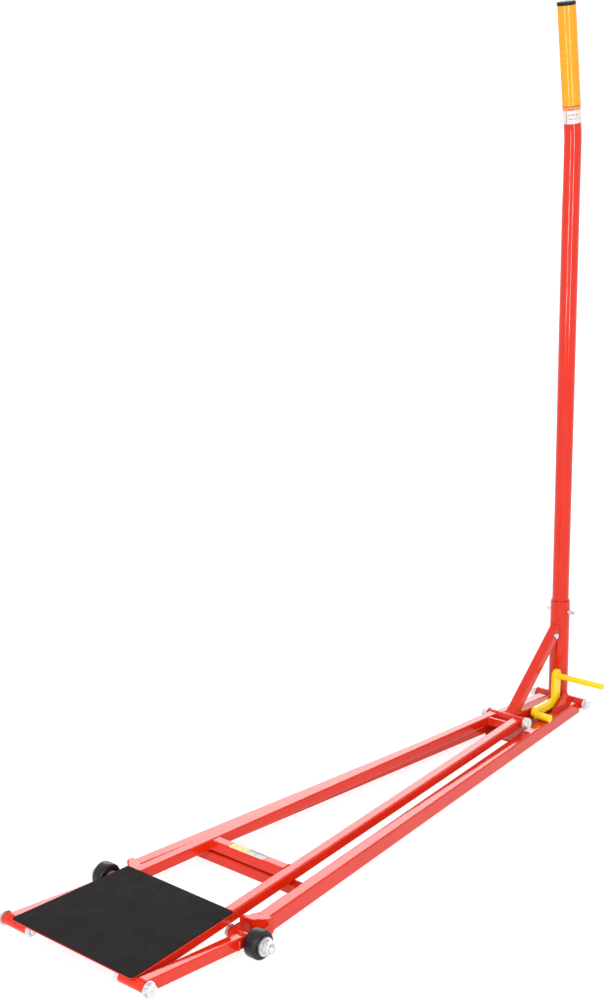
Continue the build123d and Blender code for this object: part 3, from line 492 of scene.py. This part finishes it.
def bead(points, radius, seed, closed):
    """Rings of a rippled weld bead along a path. An open bead tapers at both ends."""
    rng = random.Random(seed)
    path = [Vector(p) for p in points]
    if closed:
        path.append(path[0])
    lengths = [(b - a).length for a, b in zip(path, path[1:])]
    total = sum(lengths)
    spacing = radius * BEAD_STEP
    count = max(6, int(total / spacing))
    rings = []
    ripple = rng.uniform(0.0, 3.0)
    for i in range(count + 1):
        distance = total * i / count
        ahead = distance
        index = 0
        while index < len(lengths) - 1 and ahead > lengths[index]:
            ahead -= lengths[index]
            index += 1
        start, end = path[index], path[index + 1]
        along = (end - start).normalized()
        middle = start + along * min(ahead, lengths[index])
        level = along.cross(Vector((0, 0, 1)))
        if level.length < 0.2:
            level = along.cross(Vector((0, 1, 0)))
        level.normalize()
        upright = level.cross(along)
        wave = (distance / (radius * RIPPLE_PITCH) + ripple) % 1.0
        size = radius * (0.76 + 0.34 * (1.0 - wave) ** 1.5)
        if not closed:
            size *= min(1.0, 0.45 + 0.55 * min(i, count - i) / 3.0)
        wobble = noise.noise(middle * 260.0) * radius * 0.22
        ring = []
        for j in range(BEAD_SIDES):
            angle = TURN * j / BEAD_SIDES
            r = size * (1.0 + 0.08 * noise.noise(middle * 900.0 + Vector((j, 0, seed))))
            ring.append(middle + level * (r * math.cos(angle) + wobble) + upright * (r * math.sin(angle)))
        rings.append(ring)
    return rings


weld_shapes = {}


def weld(body, points, radius, closed=False):
    """Adds one bead to the welds of a body. Its seed is the number of faces that are there already."""
    shape = weld_shapes.setdefault(body, Shape())
    shape.rings(bead(points, radius, seed=len(shape.faces), closed=closed))


def across(s, x_from, x_to, y, z):
    """Straight path along X, on side s."""
    return [(s * x_from, y, z), (s * x_to, y, z)]


def arc(x, y, z, radius, start_deg, end_deg, steps=14):
    """Points on a circle about an axle along X; 0 degrees is +Y and 90 is up."""
    points = []
    for i in range(steps + 1):
        angle = math.radians(start_deg + (end_deg - start_deg) * i / steps)
        points.append(Vector((x, y + radius * math.cos(angle), z + radius * math.sin(angle))))
    return points


# ---------------------------------------------------------------- fasteners
M12_PITCH = 0.00175
M12_RADIUS = 6.0 * MM
M12_FLATS = 19.0 * MM
M10_PITCH = 0.0015
M10_RADIUS = 5.0 * MM
M10_FLATS = 17.0 * MM


def body_of(node):
    """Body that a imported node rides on."""
    for body, nodes in frame["record"]["behaviour"]["bodies"].items():
        if node in nodes:
            return body
    raise KeyError(node)


def replace_fasteners(name, node, shape):
    """Zinc-plated stand-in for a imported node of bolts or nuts."""
    thing = shape.build(name, ZINC, body_of(node), "zinc_steel", sharp=28.0)
    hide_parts(node)


def nearest_x(node):
    """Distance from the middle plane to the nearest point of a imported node."""
    return min(abs(v.co.x) for v in frame["nodes"][node].data.vertices)


def single_axle(name):
    """M12 bolt from the right with its nut on the left."""
    bolt_node, nut_node = name + "_bolt", name + "_nut"
    low, high = node_box(bolt_node)
    nut_low, nut_high = node_box(nut_node)
    head_x = node_box(name + "_washers")[1].x
    y, z = axle(bolt_node)
    bolt = Shape()
    add_head(bolt, head_x, y, z, 1, M12_FLATS, high.x - head_x)
    thread_start = nut_high.x + 0.004
    add_shank(bolt, head_x, thread_start, y, z, M12_RADIUS)
    add_threads(bolt, thread_start, low.x, y, z, M12_RADIUS, M12_PITCH)
    replace_fasteners(bolt_node + "_look", bolt_node, bolt)
    nut = Shape()
    add_nut(nut, nut_high.x, y, z, -1, M12_FLATS, nut_high.x - nut_low.x, M12_RADIUS)
    replace_fasteners(nut_node + "_look", nut_node, nut)


single_axle("rear_axle")
single_axle("foot_axle")

# Pad axles: heads outside, nuts inside, mirrored on both sides.
pad_washer_x = node_box("pad_axle_washers")[1].x
pad_bolt_x = node_box("pad_axle_bolts")[1].x
pad_nut_inner = nearest_x("pad_axle_nuts")
pad_nut_outer = node_box("pad_axle_nuts")[1].x
pad_tip = nearest_x("pad_axle_bolts")
pad_nut_height = pad_nut_outer - pad_nut_inner
pad_bolts = Shape()
pad_nuts = Shape()
for _, s in SIDES:
    add_head(pad_bolts, s * pad_washer_x, PAD_Y, PAD_Z, s, M10_FLATS, pad_bolt_x - pad_washer_x)
    add_shank(pad_bolts, s * pad_washer_x, s * pad_nut_outer, PAD_Y, PAD_Z, M10_RADIUS)
    add_threads(pad_bolts, s * pad_nut_outer, s * pad_tip, PAD_Y, PAD_Z, M10_RADIUS, M10_PITCH)
    add_nut(pad_nuts, s * pad_nut_outer, PAD_Y, PAD_Z, -s, M10_FLATS, pad_nut_height, M10_RADIUS)
replace_fasteners("pad_axle_bolts_look", "pad_axle_bolts", pad_bolts)
replace_fasteners("pad_axle_nuts_look", "pad_axle_nuts", pad_nuts)

# Roller axles: heads inside the forks, nuts outside the rollers.
fork_inner = node_box("roller_fork_right")[0].x
roller_tip = node_box("roller_axle_bolts")[1].x
roller_head = nearest_x("roller_axle_bolts")
roller_nut_outer = node_box("roller_nuts")[1].x
roller_nut_inner = node_box("roller_washers")[1].x
roller_nut_height = roller_nut_outer - roller_nut_inner
roller_bolts = Shape()
roller_nuts = Shape()
for _, s in SIDES:
    add_head(roller_bolts, s * fork_inner, ROLLER_Y, ROLLER_Z, -s, M12_FLATS, fork_inner - roller_head)
    add_shank(roller_bolts, s * fork_inner, s * roller_nut_inner, ROLLER_Y, ROLLER_Z, M12_RADIUS)
    add_threads(roller_bolts, s * roller_nut_inner, s * roller_tip, ROLLER_Y, ROLLER_Z, M12_RADIUS, M12_PITCH)
    nut_x = s * roller_nut_inner
    add_nut(roller_nuts, nut_x, ROLLER_Y, ROLLER_Z, s, M12_FLATS, roller_nut_height, M12_RADIUS)
replace_fasteners("roller_axle_bolts_look", "roller_axle_bolts", roller_bolts)
replace_fasteners("roller_nuts_look", "roller_nuts", roller_nuts)

# ---------------------------------------------------------------- rollers
ROLLER_BORE = 6.2 * MM


def roller_profile(width, tread):
    """(along, radius) round a roller: inner face, inner shoulder, tread, outer shoulder, outer face."""
    profile = [(0.0, ROLLER_BORE), (0.0, 0.011), (0.0012, 0.012), (0.0012, tread - 0.0065)]
    profile += [(0.0, tread - 0.0055), (0.0, tread - 0.0030)]
    profile += [(0.0006, tread - 0.0016), (0.0016, tread - 0.0006), (0.0032, tread)]
    # The moulding line round the tread.
    profile += [(width * 0.35, tread), (width * 0.36, tread - 0.0003), (width * 0.37, tread)]
    profile += [(width - 0.0042, tread), (width - 0.0026, tread - 0.0005), (width - 0.0015, tread - 0.0015)]
    profile += [(width - 0.0010, tread - 0.0030), (width - 0.0012, tread - 0.0042)]
    profile += [(width - 0.0018, tread - 0.0047), (width - 0.0018, tread - 0.0059)]
    profile += [(width - 0.0004, tread - 0.0064), (width, 0.0150), (width, ROLLER_BORE)]
    return profile


for word, s in SIDES:
    node = "roller_" + word
    low, high = node_box(node)
    inner, outer = sorted((abs(low.x), abs(high.x)))
    profile = roller_profile(outer - inner, (high.z - low.z) / 2)
    wheel = Shape()
    origin = Vector((s * inner, ROLLER_Y, ROLLER_Z))
    turned(wheel, origin, (s, 0, 0), (0, 1, 0), profile, ROLLER_SEGMENTS, closed=True)
    look = wheel.build(node + "_look", ROLLER_RUBBER, node, "roller_rubber", sharp=40.0)
    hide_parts(node)

# ---------------------------------------------------------------- rubber pad
pad_low, pad_high = node_box("rubber_pad")
pad_mesh = frame["nodes"]["rubber_pad"].data
front_half = max(v.co.x for v in pad_mesh.vertices if v.co.y < pad_low.y + 0.010)
rear_half = max(v.co.x for v in pad_mesh.vertices if v.co.y > pad_high.y - 0.010)


def pad_ring(inset, z):
    """Outline of the pad at a given inset, with rounded corners, as one ring."""
    corner = 4.4 * MM
    corner_steps = 12
    slope = math.atan2(front_half - rear_half, pad_high.y - pad_low.y)
    points = []
    corners = (
        (front_half, pad_low.y, -90.0, 0.0),
        (rear_half, pad_high.y, 0.0, 90.0),
        (-rear_half, pad_high.y, 90.0, 180.0),
        (-front_half, pad_low.y, 180.0, 270.0),
    )
    for x, y, start, end in corners:
        toward_x = -1 if x > 0 else 1
        toward_y = 1 if y < (pad_low.y + pad_high.y) / 2 else -1
        cx = x + toward_x * (corner + math.tan(slope) * corner * 0.5)
        cy = y + toward_y * corner
        for i in range(corner_steps + 1):
            angle = math.radians(start + (end - start) * i / corner_steps)
            r = corner - inset
            points.append(Vector((cx + r * math.cos(angle), cy + r * math.sin(angle), z)))
    return points


slab = Shape()
pad_round = 0.6 * MM
round_steps = 5
pad_rings = [pad_ring(0.0, pad_low.z)]
for i in range(round_steps + 1):
    angle = math.radians(90.0 * i / round_steps)
    inset = pad_round * (1 - math.cos(angle))
    pad_rings.append(pad_ring(inset, pad_high.z - pad_round * (1 - math.sin(angle))))
slab.rings(pad_rings)
pad_look = slab.build("rubber_pad_look", PAD_RUBBER, "lifting_frame", "pad_rubber", sharp=50.0)
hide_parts("rubber_pad")

# ---------------------------------------------------------------- band under the grip
band_points = [v.co for v in frame["nodes"]["lever_band"].data.vertices]
grip_points = [v.co for v in frame["nodes"]["lever_grip"].data.vertices]


def ring_middle_at(points, pick):
    """Middle of the points near the top or the bottom of a tube; pick is max or min."""
    reach = 9.0 * MM
    edge = pick(p.z for p in points)
    ring = [p for p in points if abs(p.z - edge) < reach]
    return sum(ring, Vector()) / len(ring)


grip_axis = (ring_middle_at(grip_points, max) - ring_middle_at(grip_points, min)).normalized()
band_start = min(p.dot(grip_axis) for p in band_points)
band_end = max(p.dot(grip_axis) for p in band_points)
band_length = band_end - band_start


def band_rows(low, high):
    """Distances along the lever of a row that lies between two fractions of the band."""
    return (band_start + low * band_length, band_start + high * band_length)


ALL_ROUND = (-1.0, 1.0)
PRINTED_SIDE = (0.0010, 0.0165)
# Two rows of blots, a thin line along the lever, a red-brown band with a dark blot, and the two edges.
band_marks = (
    Mark(PRINTED_SIDE, band_rows(0.48, 0.56), (0.16, 0.12, 0.12), 520.0),
    Mark(PRINTED_SIDE, band_rows(0.26, 0.34), (0.18, 0.13, 0.12), 480.0),
    Mark((-0.0022, -0.0012), band_rows(0.0, 0.76), (0.05, 0.03, 0.03), 0.0),
    Mark(ALL_ROUND, band_rows(0.76, 0.97), (0.72, 0.20, 0.06), 0.0),
    Mark((0.0040, 0.0120), band_rows(0.76, 0.90), (0.14, 0.05, 0.03), 330.0),
    Mark(ALL_ROUND, band_rows(0.97, 1.0), (0.05, 0.02, 0.01), 0.0),
    Mark(ALL_ROUND, band_rows(0.0, 0.03), (0.20, 0.03, 0.02), 0.0),
)
BAND_FILM = printed_film("lever_band_film", (0.62, 0.56, 0.55), (1, 0, 0), tuple(grip_axis), band_marks)

# ---------------------------------------------------------------- pull ring
ring_low, ring_high = node_box("pull_ring")
ring_middle = (ring_low + ring_high) / 2
ring_joint = [j for j in frame["joints"] if j["name"] == "pull_ring_swing"][0]
ring_hinge = Vector(ring_joint["pos_m"])
ring_out = (ring_middle - ring_hinge).normalized()
ring_radius = (ring_high.y - ring_low.y) / 2 - 0.001
coil = Shape()
coil_rings = []
ring_normal = ring_out.cross(Vector((0, 1, 0))).normalized()
turns = 1.85
coil_steps = 150
wire = 0.52 * MM
wire_sides = 12
coil_height_mm = 0.94
for i in range(coil_steps + 1):
    t = i / coil_steps
    angle = TURN * turns * t + math.pi / 2
    rise = (t - 0.5) * coil_height_mm * MM
    spoke = ring_out * math.cos(angle) + Vector((0, 1, 0)) * math.sin(angle)
    centre = ring_middle + spoke * ring_radius + ring_normal * rise
    taper = min(1.0, 0.35 + min(i, coil_steps - i) / 4)
    ring = []
    for j in range(wire_sides):
        around = TURN * j / wire_sides
        ring.append(centre + (spoke * math.cos(around) + ring_normal * math.sin(around)) * wire * taper)
    coil_rings.append(ring)
coil.rings(coil_rings)
coil_look = coil.build("pull_ring_look", ZINC, "pull_ring", "zinc_steel", sharp=60.0)
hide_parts("pull_ring")

# ---------------------------------------------------------------- weld paths
# Radii of the beads that are used more than once.
FINE_BEAD = 0.0016
LIGHT_BEAD = 0.0017
MEDIUM_BEAD = 0.0018
FULL_BEAD = 0.0019
BROAD_BEAD = 0.0022
# How much a tube's side moves outward for each metre towards the pad.
LIFT_SPLAY = 0.0774
FLOOR_SPLAY = 0.0918

# Front links: a short tube with a sleeve at each end. The middles of the arcs lie inside the tube's side
# faces, so that the beads clear the fork's ears and the pad plate through the whole swing.
LINK_SLEEVE = 9.5 * MM
PAD_SLEEVE = 8.5 * MM
LINK_TOP = 10.0 * MM
SLEEVE_GAP = 0.0006
ROLLER_ARC_INSET = 0.0017
PAD_ARC_INSET = 0.0014
HEAVY_RUNS = ((0.0082, 0.0, 0.0030), (0.0122, 0.0035, 0.0023))
LINK_FACE_TOP = (-1.1755, 0.0310)
LINK_FACE_FOOT = (-1.1780, 0.0150)
link_low, link_high = node_box("link_tube_right")
tube_in, tube_out = link_low.x, link_high.x
link_slope = (PAD_Z - ROLLER_Z) / (ROLLER_Y - PAD_Y)
# The run across the top of the pad's sleeve starts past the pad plate's edge.
pad_run_in = tube_in + 0.0022
pad_run_y = PAD_Y + 0.0014
pad_run_z = PAD_Z + 0.0089
for word, s in SIDES:
    body = "link_" + word
    for x, inward in ((tube_in, 1), (tube_out, -1)):
        roller_x = s * (x + inward * ROLLER_ARC_INSET)
        pad_x = s * (x + inward * PAD_ARC_INSET)
        weld(body, arc(roller_x, ROLLER_Y, ROLLER_Z, LINK_SLEEVE + SLEEVE_GAP, 95, 262), LIGHT_BEAD)
        weld(body, arc(pad_x, PAD_Y, PAD_Z, PAD_SLEEVE + SLEEVE_GAP, 85, -82), LIGHT_BEAD)
    # Two heavy runs across the tube's top, in front of the roller's sleeve.
    for ahead, inset, size in HEAVY_RUNS:
        z = ROLLER_Z + LINK_TOP + ahead * link_slope
        weld(body, across(s, tube_in + inset, tube_out - inset, ROLLER_Y - ahead, z), size)
    weld(body, [(s * tube_out, *LINK_FACE_TOP), (s * tube_out, *LINK_FACE_FOOT)], BROAD_BEAD)
    weld(body, across(s, pad_run_in, tube_out, pad_run_y, pad_run_z), 0.0024)
    for y, z, r, toward in ((ROLLER_Y, ROLLER_Z, LINK_SLEEVE, -1), (PAD_Y, PAD_Z, PAD_SLEEVE, 1)):
        weld(body, across(s, tube_in, tube_out, y + toward * r * 0.15, z - r * 0.99), FINE_BEAD)

# Cross tubes into the side tubes.
for node, body, splay in (
    ("upper_cross_tube", "lifting_frame", LIFT_SPLAY),
    ("lower_cross_tube", "root", FLOOR_SPLAY),
):
    low, high = node_box(node)
    for _, s in SIDES:
        rear = high.x + 0.0002
        front = rear + (high.y - low.y) * splay
        weld(body, [(s * front, low.y, high.z), (s * rear, high.y, high.z)], FINE_BEAD)
        weld(body, [(s * front, low.y, low.z), (s * front, low.y, high.z)], MEDIUM_BEAD)
        weld(body, [(s * rear, high.y, low.z), (s * rear, high.y, high.z)], MEDIUM_BEAD)

# Floor tubes onto the rear axle sleeves, and lifting tubes onto the foot axle sleeves.
REAR_SLEEVE = 11.0 * MM
FOOT_SLEEVE = 9.5 * MM
REAR_ARC = 0.0114
FOOT_ARC = 0.0099
FLOOR_TOP = 28.0 * MM
FLOOR_IN = 22.6 * MM
FLOOR_OUT = 45.2 * MM
LIFT_IN = 17.4 * MM
LIFT_OUT = 35.6 * MM
lift_top = node_box("lift_tube_right")[1].z
rear_run_y = REAR_Y - math.sqrt(REAR_SLEEVE**2 - (FLOOR_TOP - REAR_Z) ** 2)
foot_run_y = FOOT_Y - math.sqrt(FOOT_SLEEVE**2 - (lift_top - FOOT_Z) ** 2)
for _, s in SIDES:
    weld("root", across(s, FLOOR_IN, FLOOR_OUT, rear_run_y, FLOOR_TOP + 0.0004), BROAD_BEAD)
    weld("root", arc(s * FLOOR_OUT, REAR_Y, REAR_Z, REAR_ARC, 155, 262), MEDIUM_BEAD)
    weld("root", arc(s * FLOOR_IN, REAR_Y, REAR_Z, REAR_ARC, 155, 262), MEDIUM_BEAD)
    weld("lifting_frame", across(s, LIFT_IN, LIFT_OUT, foot_run_y, lift_top + 0.0004), FULL_BEAD)
    weld("lifting_frame", arc(s * LIFT_OUT, FOOT_Y, FOOT_Z, FOOT_ARC, 125, 255), LIGHT_BEAD)
    weld("lifting_frame", arc(s * LIFT_IN, FOOT_Y, FOOT_Z, FOOT_ARC, 125, 255), LIGHT_BEAD)

# Roller forks around the ends of the floor tubes: an upright bead behind the fork, one at the rear
# corner of its gusset, and one along the gusset's top.
FORK_BEAD_X = 145.9 * MM
GUSSET_CORNER = (0.1502, -1.1160)
GUSSET_FRONT = (0.1330, -1.1316, 0.0412)
GUSSET_TOP = 0.0405
fork_bead_y = node_box("roller_fork_right")[1].y + 0.0004
for _, s in SIDES:
    fork_x = s * FORK_BEAD_X
    corner = (s * GUSSET_CORNER[0], GUSSET_CORNER[1])
    front = (s * GUSSET_FRONT[0], *GUSSET_FRONT[1:])
    weld("root", [(fork_x, fork_bead_y, 0.0165), (fork_x, fork_bead_y, 0.0360)], 0.0020)
    weld("root", [(*corner, 0.0310), (*corner, GUSSET_TOP)], BROAD_BEAD)
    weld("root", [front, (*corner, GUSSET_TOP)], FINE_BEAD)

# Lever foot: socket on the rear sleeve and strut, strut, brace and sleeves.
STRUT_RISE = (FOOT_Z - REAR_Z) / (REAR_Y - FOOT_Y)
STRUT_HALF_HEIGHT = 9.05 * MM
STRUT_SIDE = 0.0124
SOCKET_ARC = 20.4 * MM
SOCKET_FOOT_Y = -12.3 * MM


def strut_top(y):
    """Height of the strut's top face."""
    return REAR_Z + STRUT_HALF_HEIGHT - y * STRUT_RISE


rear_arc = []
for i in range(13):
    x = (-1 + i / 6) * 12.4 * MM
    y = SOCKET_FOOT_Y + math.sqrt(SOCKET_ARC**2 - x * x)
    rear_arc.append((x, y, REAR_Z + math.sqrt(REAR_SLEEVE**2 - y * y) + 0.0003))
weld("lever_foot", rear_arc, FULL_BEAD)
front_arc = []
for i in range(13):
    sideways = math.radians(-37 + 74 * i / 12)
    x = SOCKET_ARC * math.sin(sideways)
    y = SOCKET_FOOT_Y - SOCKET_ARC * math.cos(sideways)
    front_arc.append((x, y, strut_top(y) + 0.0004))
weld("lever_foot", front_arc, BROAD_BEAD)
for _, s in SIDES:
    beside_socket = [(s * 0.0127, y, strut_top(y)) for y in (-0.030, -0.012)]
    weld("lever_foot", beside_socket, MEDIUM_BEAD)
    weld("lever_foot", arc(s * STRUT_SIDE, FOOT_Y, FOOT_Z, 0.0098, 60, -50), FINE_BEAD)
    weld("lever_foot", arc(s * STRUT_SIDE, REAR_Y, REAR_Z, 0.0113, 120, 235), LIGHT_BEAD)
weld("lever_foot", across(1, -STRUT_SIDE, STRUT_SIDE, FOOT_Y + 0.0055, FOOT_Z + 0.0085), LIGHT_BEAD)

BRACE_ANGLE = math.radians(40.55)
BRACE_HALF = 9.8 * MM
BRACE_LOW = Vector((0, -0.2066, 0.0376))
SOCKET_AXIS_Y = -0.0113
SOCKET_LEAN = math.tan(0.03)
SOCKET_FACE = 0.0203
brace_along = Vector((0, math.cos(BRACE_ANGLE), math.sin(BRACE_ANGLE)))
brace_up = Vector((0, -math.sin(BRACE_ANGLE), math.cos(BRACE_ANGLE)))


def on_socket(x, z):
    """Point on the front of the socket tube at a height."""
    middle_y = SOCKET_AXIS_Y - z * SOCKET_LEAN
    return Vector((x, middle_y - math.sqrt(SOCKET_FACE**2 - x * x), z))


def brace_hits(x, offset):
    """Where a line of the brace, offset from its centre line, meets the socket."""
    height = 0.16
    for _ in range(20):
        target = on_socket(x, height)
        start = BRACE_LOW + brace_up * offset
        travel = (target.y - start.y) / brace_along.y
        height = start.z + brace_along.z * travel
    return on_socket(x, height)


# Round the brace's end on the socket: top, one side, bottom, and the other side.
around = []
for i in range(7):
    around.append(brace_hits(-BRACE_HALF + 2 * BRACE_HALF * i / 6, BRACE_HALF))
for i in range(1, 7):
    around.append(brace_hits(BRACE_HALF, BRACE_HALF - 2 * BRACE_HALF * i / 6))
for i in range(1, 7):
    around.append(brace_hits(BRACE_HALF - 2 * BRACE_HALF * i / 6, -BRACE_HALF))
for i in range(1, 6):
    around.append(brace_hits(-BRACE_HALF, -BRACE_HALF + 2 * BRACE_HALF * i / 6))
weld("lever_foot", around, 0.0020, closed=True)
# Along both sides of the brace's foot on the strut.
for _, s in SIDES:
    foot = []
    for offset in (-BRACE_HALF, BRACE_HALF):
        start = BRACE_LOW + brace_up * offset
        travel = (strut_top(start.y) - start.z) / brace_along.z
        y = start.y + brace_along.y * travel
        foot.append((s * (BRACE_HALF + 0.0003), y, strut_top(y) + 0.0003))
    weld("lever_foot", foot, LIGHT_BEAD)

# Catch bracket on its tube, along both faces of the plate.
for x in (0.0331, 0.0379):
    weld("root", [(x, -0.092, 0.0292), (x, -0.026, 0.0285)], FINE_BEAD)

# Ends of the apex strip.
strip_low, strip_high = node_box("apex_strip")
for _, s in SIDES:
    for y in (strip_low.y, strip_high.y):
        strip_x = s * strip_high.x
        weld("lifting_frame", [(strip_x, y, strip_low.z), (strip_x, y, strip_high.z)], FINE_BEAD)

# Round both rods of the catch.
catch_outer = node_box("catch_lever")[1].x
for node in ("catch_pedal", "catch_stop_bar"):
    low, high = node_box(node)
    radius = (high.z - low.z) / 2 + 0.0004
    ring = arc(catch_outer + 0.0002, (low.y + high.y) / 2, (low.z + high.z) / 2, radius, 0, 345, steps=20)
    weld("catch", ring, 0.0015, closed=True)

# Stitches that hold the pad plate to the lifting tubes from below.
STITCH_LENGTH = 0.028
STITCH_Z = 0.0520
for _, s in SIDES:
    for start in (-1.330, -1.270, -1.210):
        ends = [(s * (0.019 - LIFT_SPLAY * y), y, STITCH_Z) for y in (start, start + STITCH_LENGTH)]
        weld("lifting_frame", ends, 0.0014)

for body, shape in weld_shapes.items():
    colour = YELLOW if body == "catch" else RED_BEAD
    slot = "yellow_paint" if body == "catch" else "red_paint"
    shape.build(body + "_welds", colour, body, slot, sharp=80.0)


# ---------------------------------------------------------------- stickers on the upper cross tube
def sticker(name, x_low, x_high, y_low, y_high, z, material):
    """Thin film with rounded corners on the cross tube's top face."""
    shape = Shape()
    corner = 1.2 * MM
    thickness = 0.12 * MM
    outline = []
    corners = ((x_high, y_low, -90), (x_high, y_high, 0), (x_low, y_high, 90), (x_low, y_low, 180))
    for x, y, start in corners:
        cx = x - corner if x == x_high else x + corner
        cy = y + corner if y == y_low else y - corner
        for i in range(5):
            angle = math.radians(start + 90 * i / 4)
            outline.append(Vector((cx + corner * math.cos(angle), cy + corner * math.sin(angle), z)))
    lifted = [p + Vector((0, 0, thickness)) for p in outline]
    shape.rings([outline, lifted])
    shape.build(name, material, "lifting_frame", "band_film", sharp=50.0)


cross_low, cross_high = node_box("upper_cross_tube")
yellow_marks = (
    Mark((-0.0360, -0.0225), (-0.9955, -0.9835), (0.52, 0.40, 0.06), 300.0),
    Mark((-0.0195, -0.0080), (-0.9950, -0.9840), (0.50, 0.40, 0.08), 260.0),
)
grey_marks = (
    Mark((-0.0040, 0.0320), (-0.9845, -0.9815), (0.06, 0.06, 0.065), 0.0),
    Mark((0.0030, 0.0170), (-0.9935, -0.9855), (0.30, 0.30, 0.31), 260.0),
    Mark((0.0200, 0.0300), (-0.9940, -0.9860), (0.42, 0.42, 0.42), 340.0),
)
yellow_film = printed_film("sticker_yellow", (0.66, 0.50, 0.12), (1, 0, 0), (0, 1, 0), yellow_marks)
grey_film = printed_film("sticker_grey", (0.42, 0.42, 0.42), (1, 0, 0), (0, 1, 0), grey_marks)
sticker_front = cross_low.y + 0.0008
sticker_rear = cross_high.y - 0.0022
sticker("sticker_left", -0.0395, -0.0052, sticker_front, sticker_rear, cross_high.z, yellow_film)
sticker("sticker_right", -0.0046, 0.0330, sticker_front, sticker_rear, cross_high.z, grey_film)

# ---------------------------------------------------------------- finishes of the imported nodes
FINISH = {
    "red_paint": RED,
    "yellow_paint": YELLOW,
    "zinc_steel": ZINC,
    "pad_rubber": PAD_RUBBER,
    "roller_rubber": ROLLER_RUBBER,
    "grip_plastic": GRIP_VINYL,
    "cap_plastic": CAP_RUBBER,
    "band_film": BAND_FILM,
}
# The floor plate takes the duller red, whose darker colour is painted shade.
for entry in frame["record"]["subparts"]:
    thing = frame["nodes"][entry["node"]]
    for slot in thing.material_slots:
        slot.material = RED_DULL_SHADED if entry["node"] == "floor_plate" else FINISH[entry["material_slot"]]


# ---------------------------------------------------------------- floor
FLOOR_GLOW = 0.82
FLOOR_HALF = 40.0
FLOOR_Z = -0.0003


def floor_material():
    """Pale matt floor with a little light of its own, so that shadows on it stay faint."""
    n = Nodes("studio_floor")
    n.set(Base_Color=n.mix(n.ramp(n.noise(2.0), 0.3, 0.7), (0.32, 0.32, 0.32), (0.30, 0.30, 0.30)))
    n.set(Roughness=n.ramp(n.noise(12.0), 0.3, 0.7, 0.75, 0.85), Specular_IOR_Level=0.1)
    n.set(Emission_Color=(1.0, 1.0, 1.0), Emission_Strength=FLOOR_GLOW)
    n.surface(n.noise(200.0), 0.02)
    return n.material


floor_corners = [(x * FLOOR_HALF, y * FLOOR_HALF, 0) for x, y in ((-1, -1), (1, -1), (1, 1), (-1, 1))]
floor_mesh = bpy.data.meshes.new("floor")
floor_mesh.from_pydata(floor_corners, [], [(0, 1, 2, 3)])
floor_mesh.materials.append(floor_material())
floor = bpy.data.objects.new("floor", floor_mesh)
bpy.context.scene.collection.objects.link(floor)
floor.location.z = FLOOR_Z

# ---------------------------------------------------------------- light
world = bpy.data.worlds.new("studio")
world.use_nodes = True
bpy.context.scene.world = world
sky = world.node_tree
background = sky.nodes["Background"]
background.inputs["Color"].default_value = (1.0, 1.0, 1.0, 1.0)

# The room is white all round, with a darker opening to the front and right of the jack.
OPENING = Vector((0.5, -0.866, 0.0))
ROOM_LEVEL = 1.03
OPENING_LEVEL = 0.50
SEEN_LEVEL = 1.05
facing = sky.nodes.new("ShaderNodeVectorMath")
facing.operation = "DOT_PRODUCT"
facing.inputs[1].default_value = OPENING
sky.links.new(sky.nodes.new("ShaderNodeTexCoord").outputs["Generated"], facing.inputs[0])
level = sky.nodes.new("ShaderNodeMapRange")
level.interpolation_type = "SMOOTHSTEP"
level.inputs["From Min"].default_value = 0.60
level.inputs["From Max"].default_value = 0.88
level.inputs["To Min"].default_value = ROOM_LEVEL
level.inputs["To Max"].default_value = OPENING_LEVEL
sky.links.new(facing.outputs["Value"], level.inputs["Value"])
# What the camera itself sees past the floor's edge stays plain white.
seen = sky.nodes.new("ShaderNodeMix")
seen.inputs["B"].default_value = SEEN_LEVEL
sky.links.new(sky.nodes.new("ShaderNodeLightPath").outputs["Is Camera Ray"], seen.inputs["Factor"])
sky.links.new(level.outputs["Result"], seen.inputs["A"])
sky.links.new(seen.outputs["Result"], background.inputs["Strength"])


def softbox(name, place, target, width, height, power):
    """Rectangular area light that points at a target."""
    light = bpy.data.lights.new(name, "AREA")
    light.shape = "RECTANGLE"
    light.size = width
    light.size_y = height
    light.energy = power
    thing = bpy.data.objects.new(name, light)
    bpy.context.scene.collection.objects.link(thing)
    thing.location = place
    aim = Vector(target) - Vector(place)
    thing.rotation_euler = aim.to_track_quat("-Z", "Y").to_euler()


# Two tall strip boxes, one on each side of the opening's middle, and a soft top light.
STRIP_AWAY = 3.0
STRIP_Z = 1.2
for name, bearing in (("strip_left", 7.0), ("strip_right", 53.0)):
    angle = math.radians(bearing)
    place = Vector((STRIP_AWAY * math.sin(angle), -STRIP_AWAY * math.cos(angle), STRIP_Z))
    softbox(name, place, target=(0.0, 0.0, STRIP_Z), width=0.14, height=1.9, power=34.0)
softbox("top_light", (0.3, -0.4, 3.6), target=(0.0, -0.6, 0.0), width=2.4, height=2.4, power=6.0)

# A broad box behind the jack, low enough to shine on the tops of its tubes.
softbox("back_light", (-2.35, 2.05, 1.65), target=(0.0, -0.7, 0.0), width=2.8, height=1.6, power=46.0)

# ---------------------------------------------------------------- camera
CAMERA_PLACE = (1.48485, -2.64118, 1.17899)
CAMERA_TILT_DOWN = 0.23840
CAMERA_TURN = 0.69320
camera_data = bpy.data.cameras.new("camera")
camera_data.sensor_width = 36.0
camera_data.lens = 53.87
camera_data.clip_end = 100.0
camera = bpy.data.objects.new("camera", camera_data)
bpy.context.scene.collection.objects.link(camera)
camera.location = CAMERA_PLACE
camera.rotation_euler = (math.pi / 2 - CAMERA_TILT_DOWN, 0.0, CAMERA_TURN)
bpy.context.scene.camera = camera
bpy.context.scene.view_settings.view_transform = "Standard"
bpy.context.scene.view_settings.look = "None"
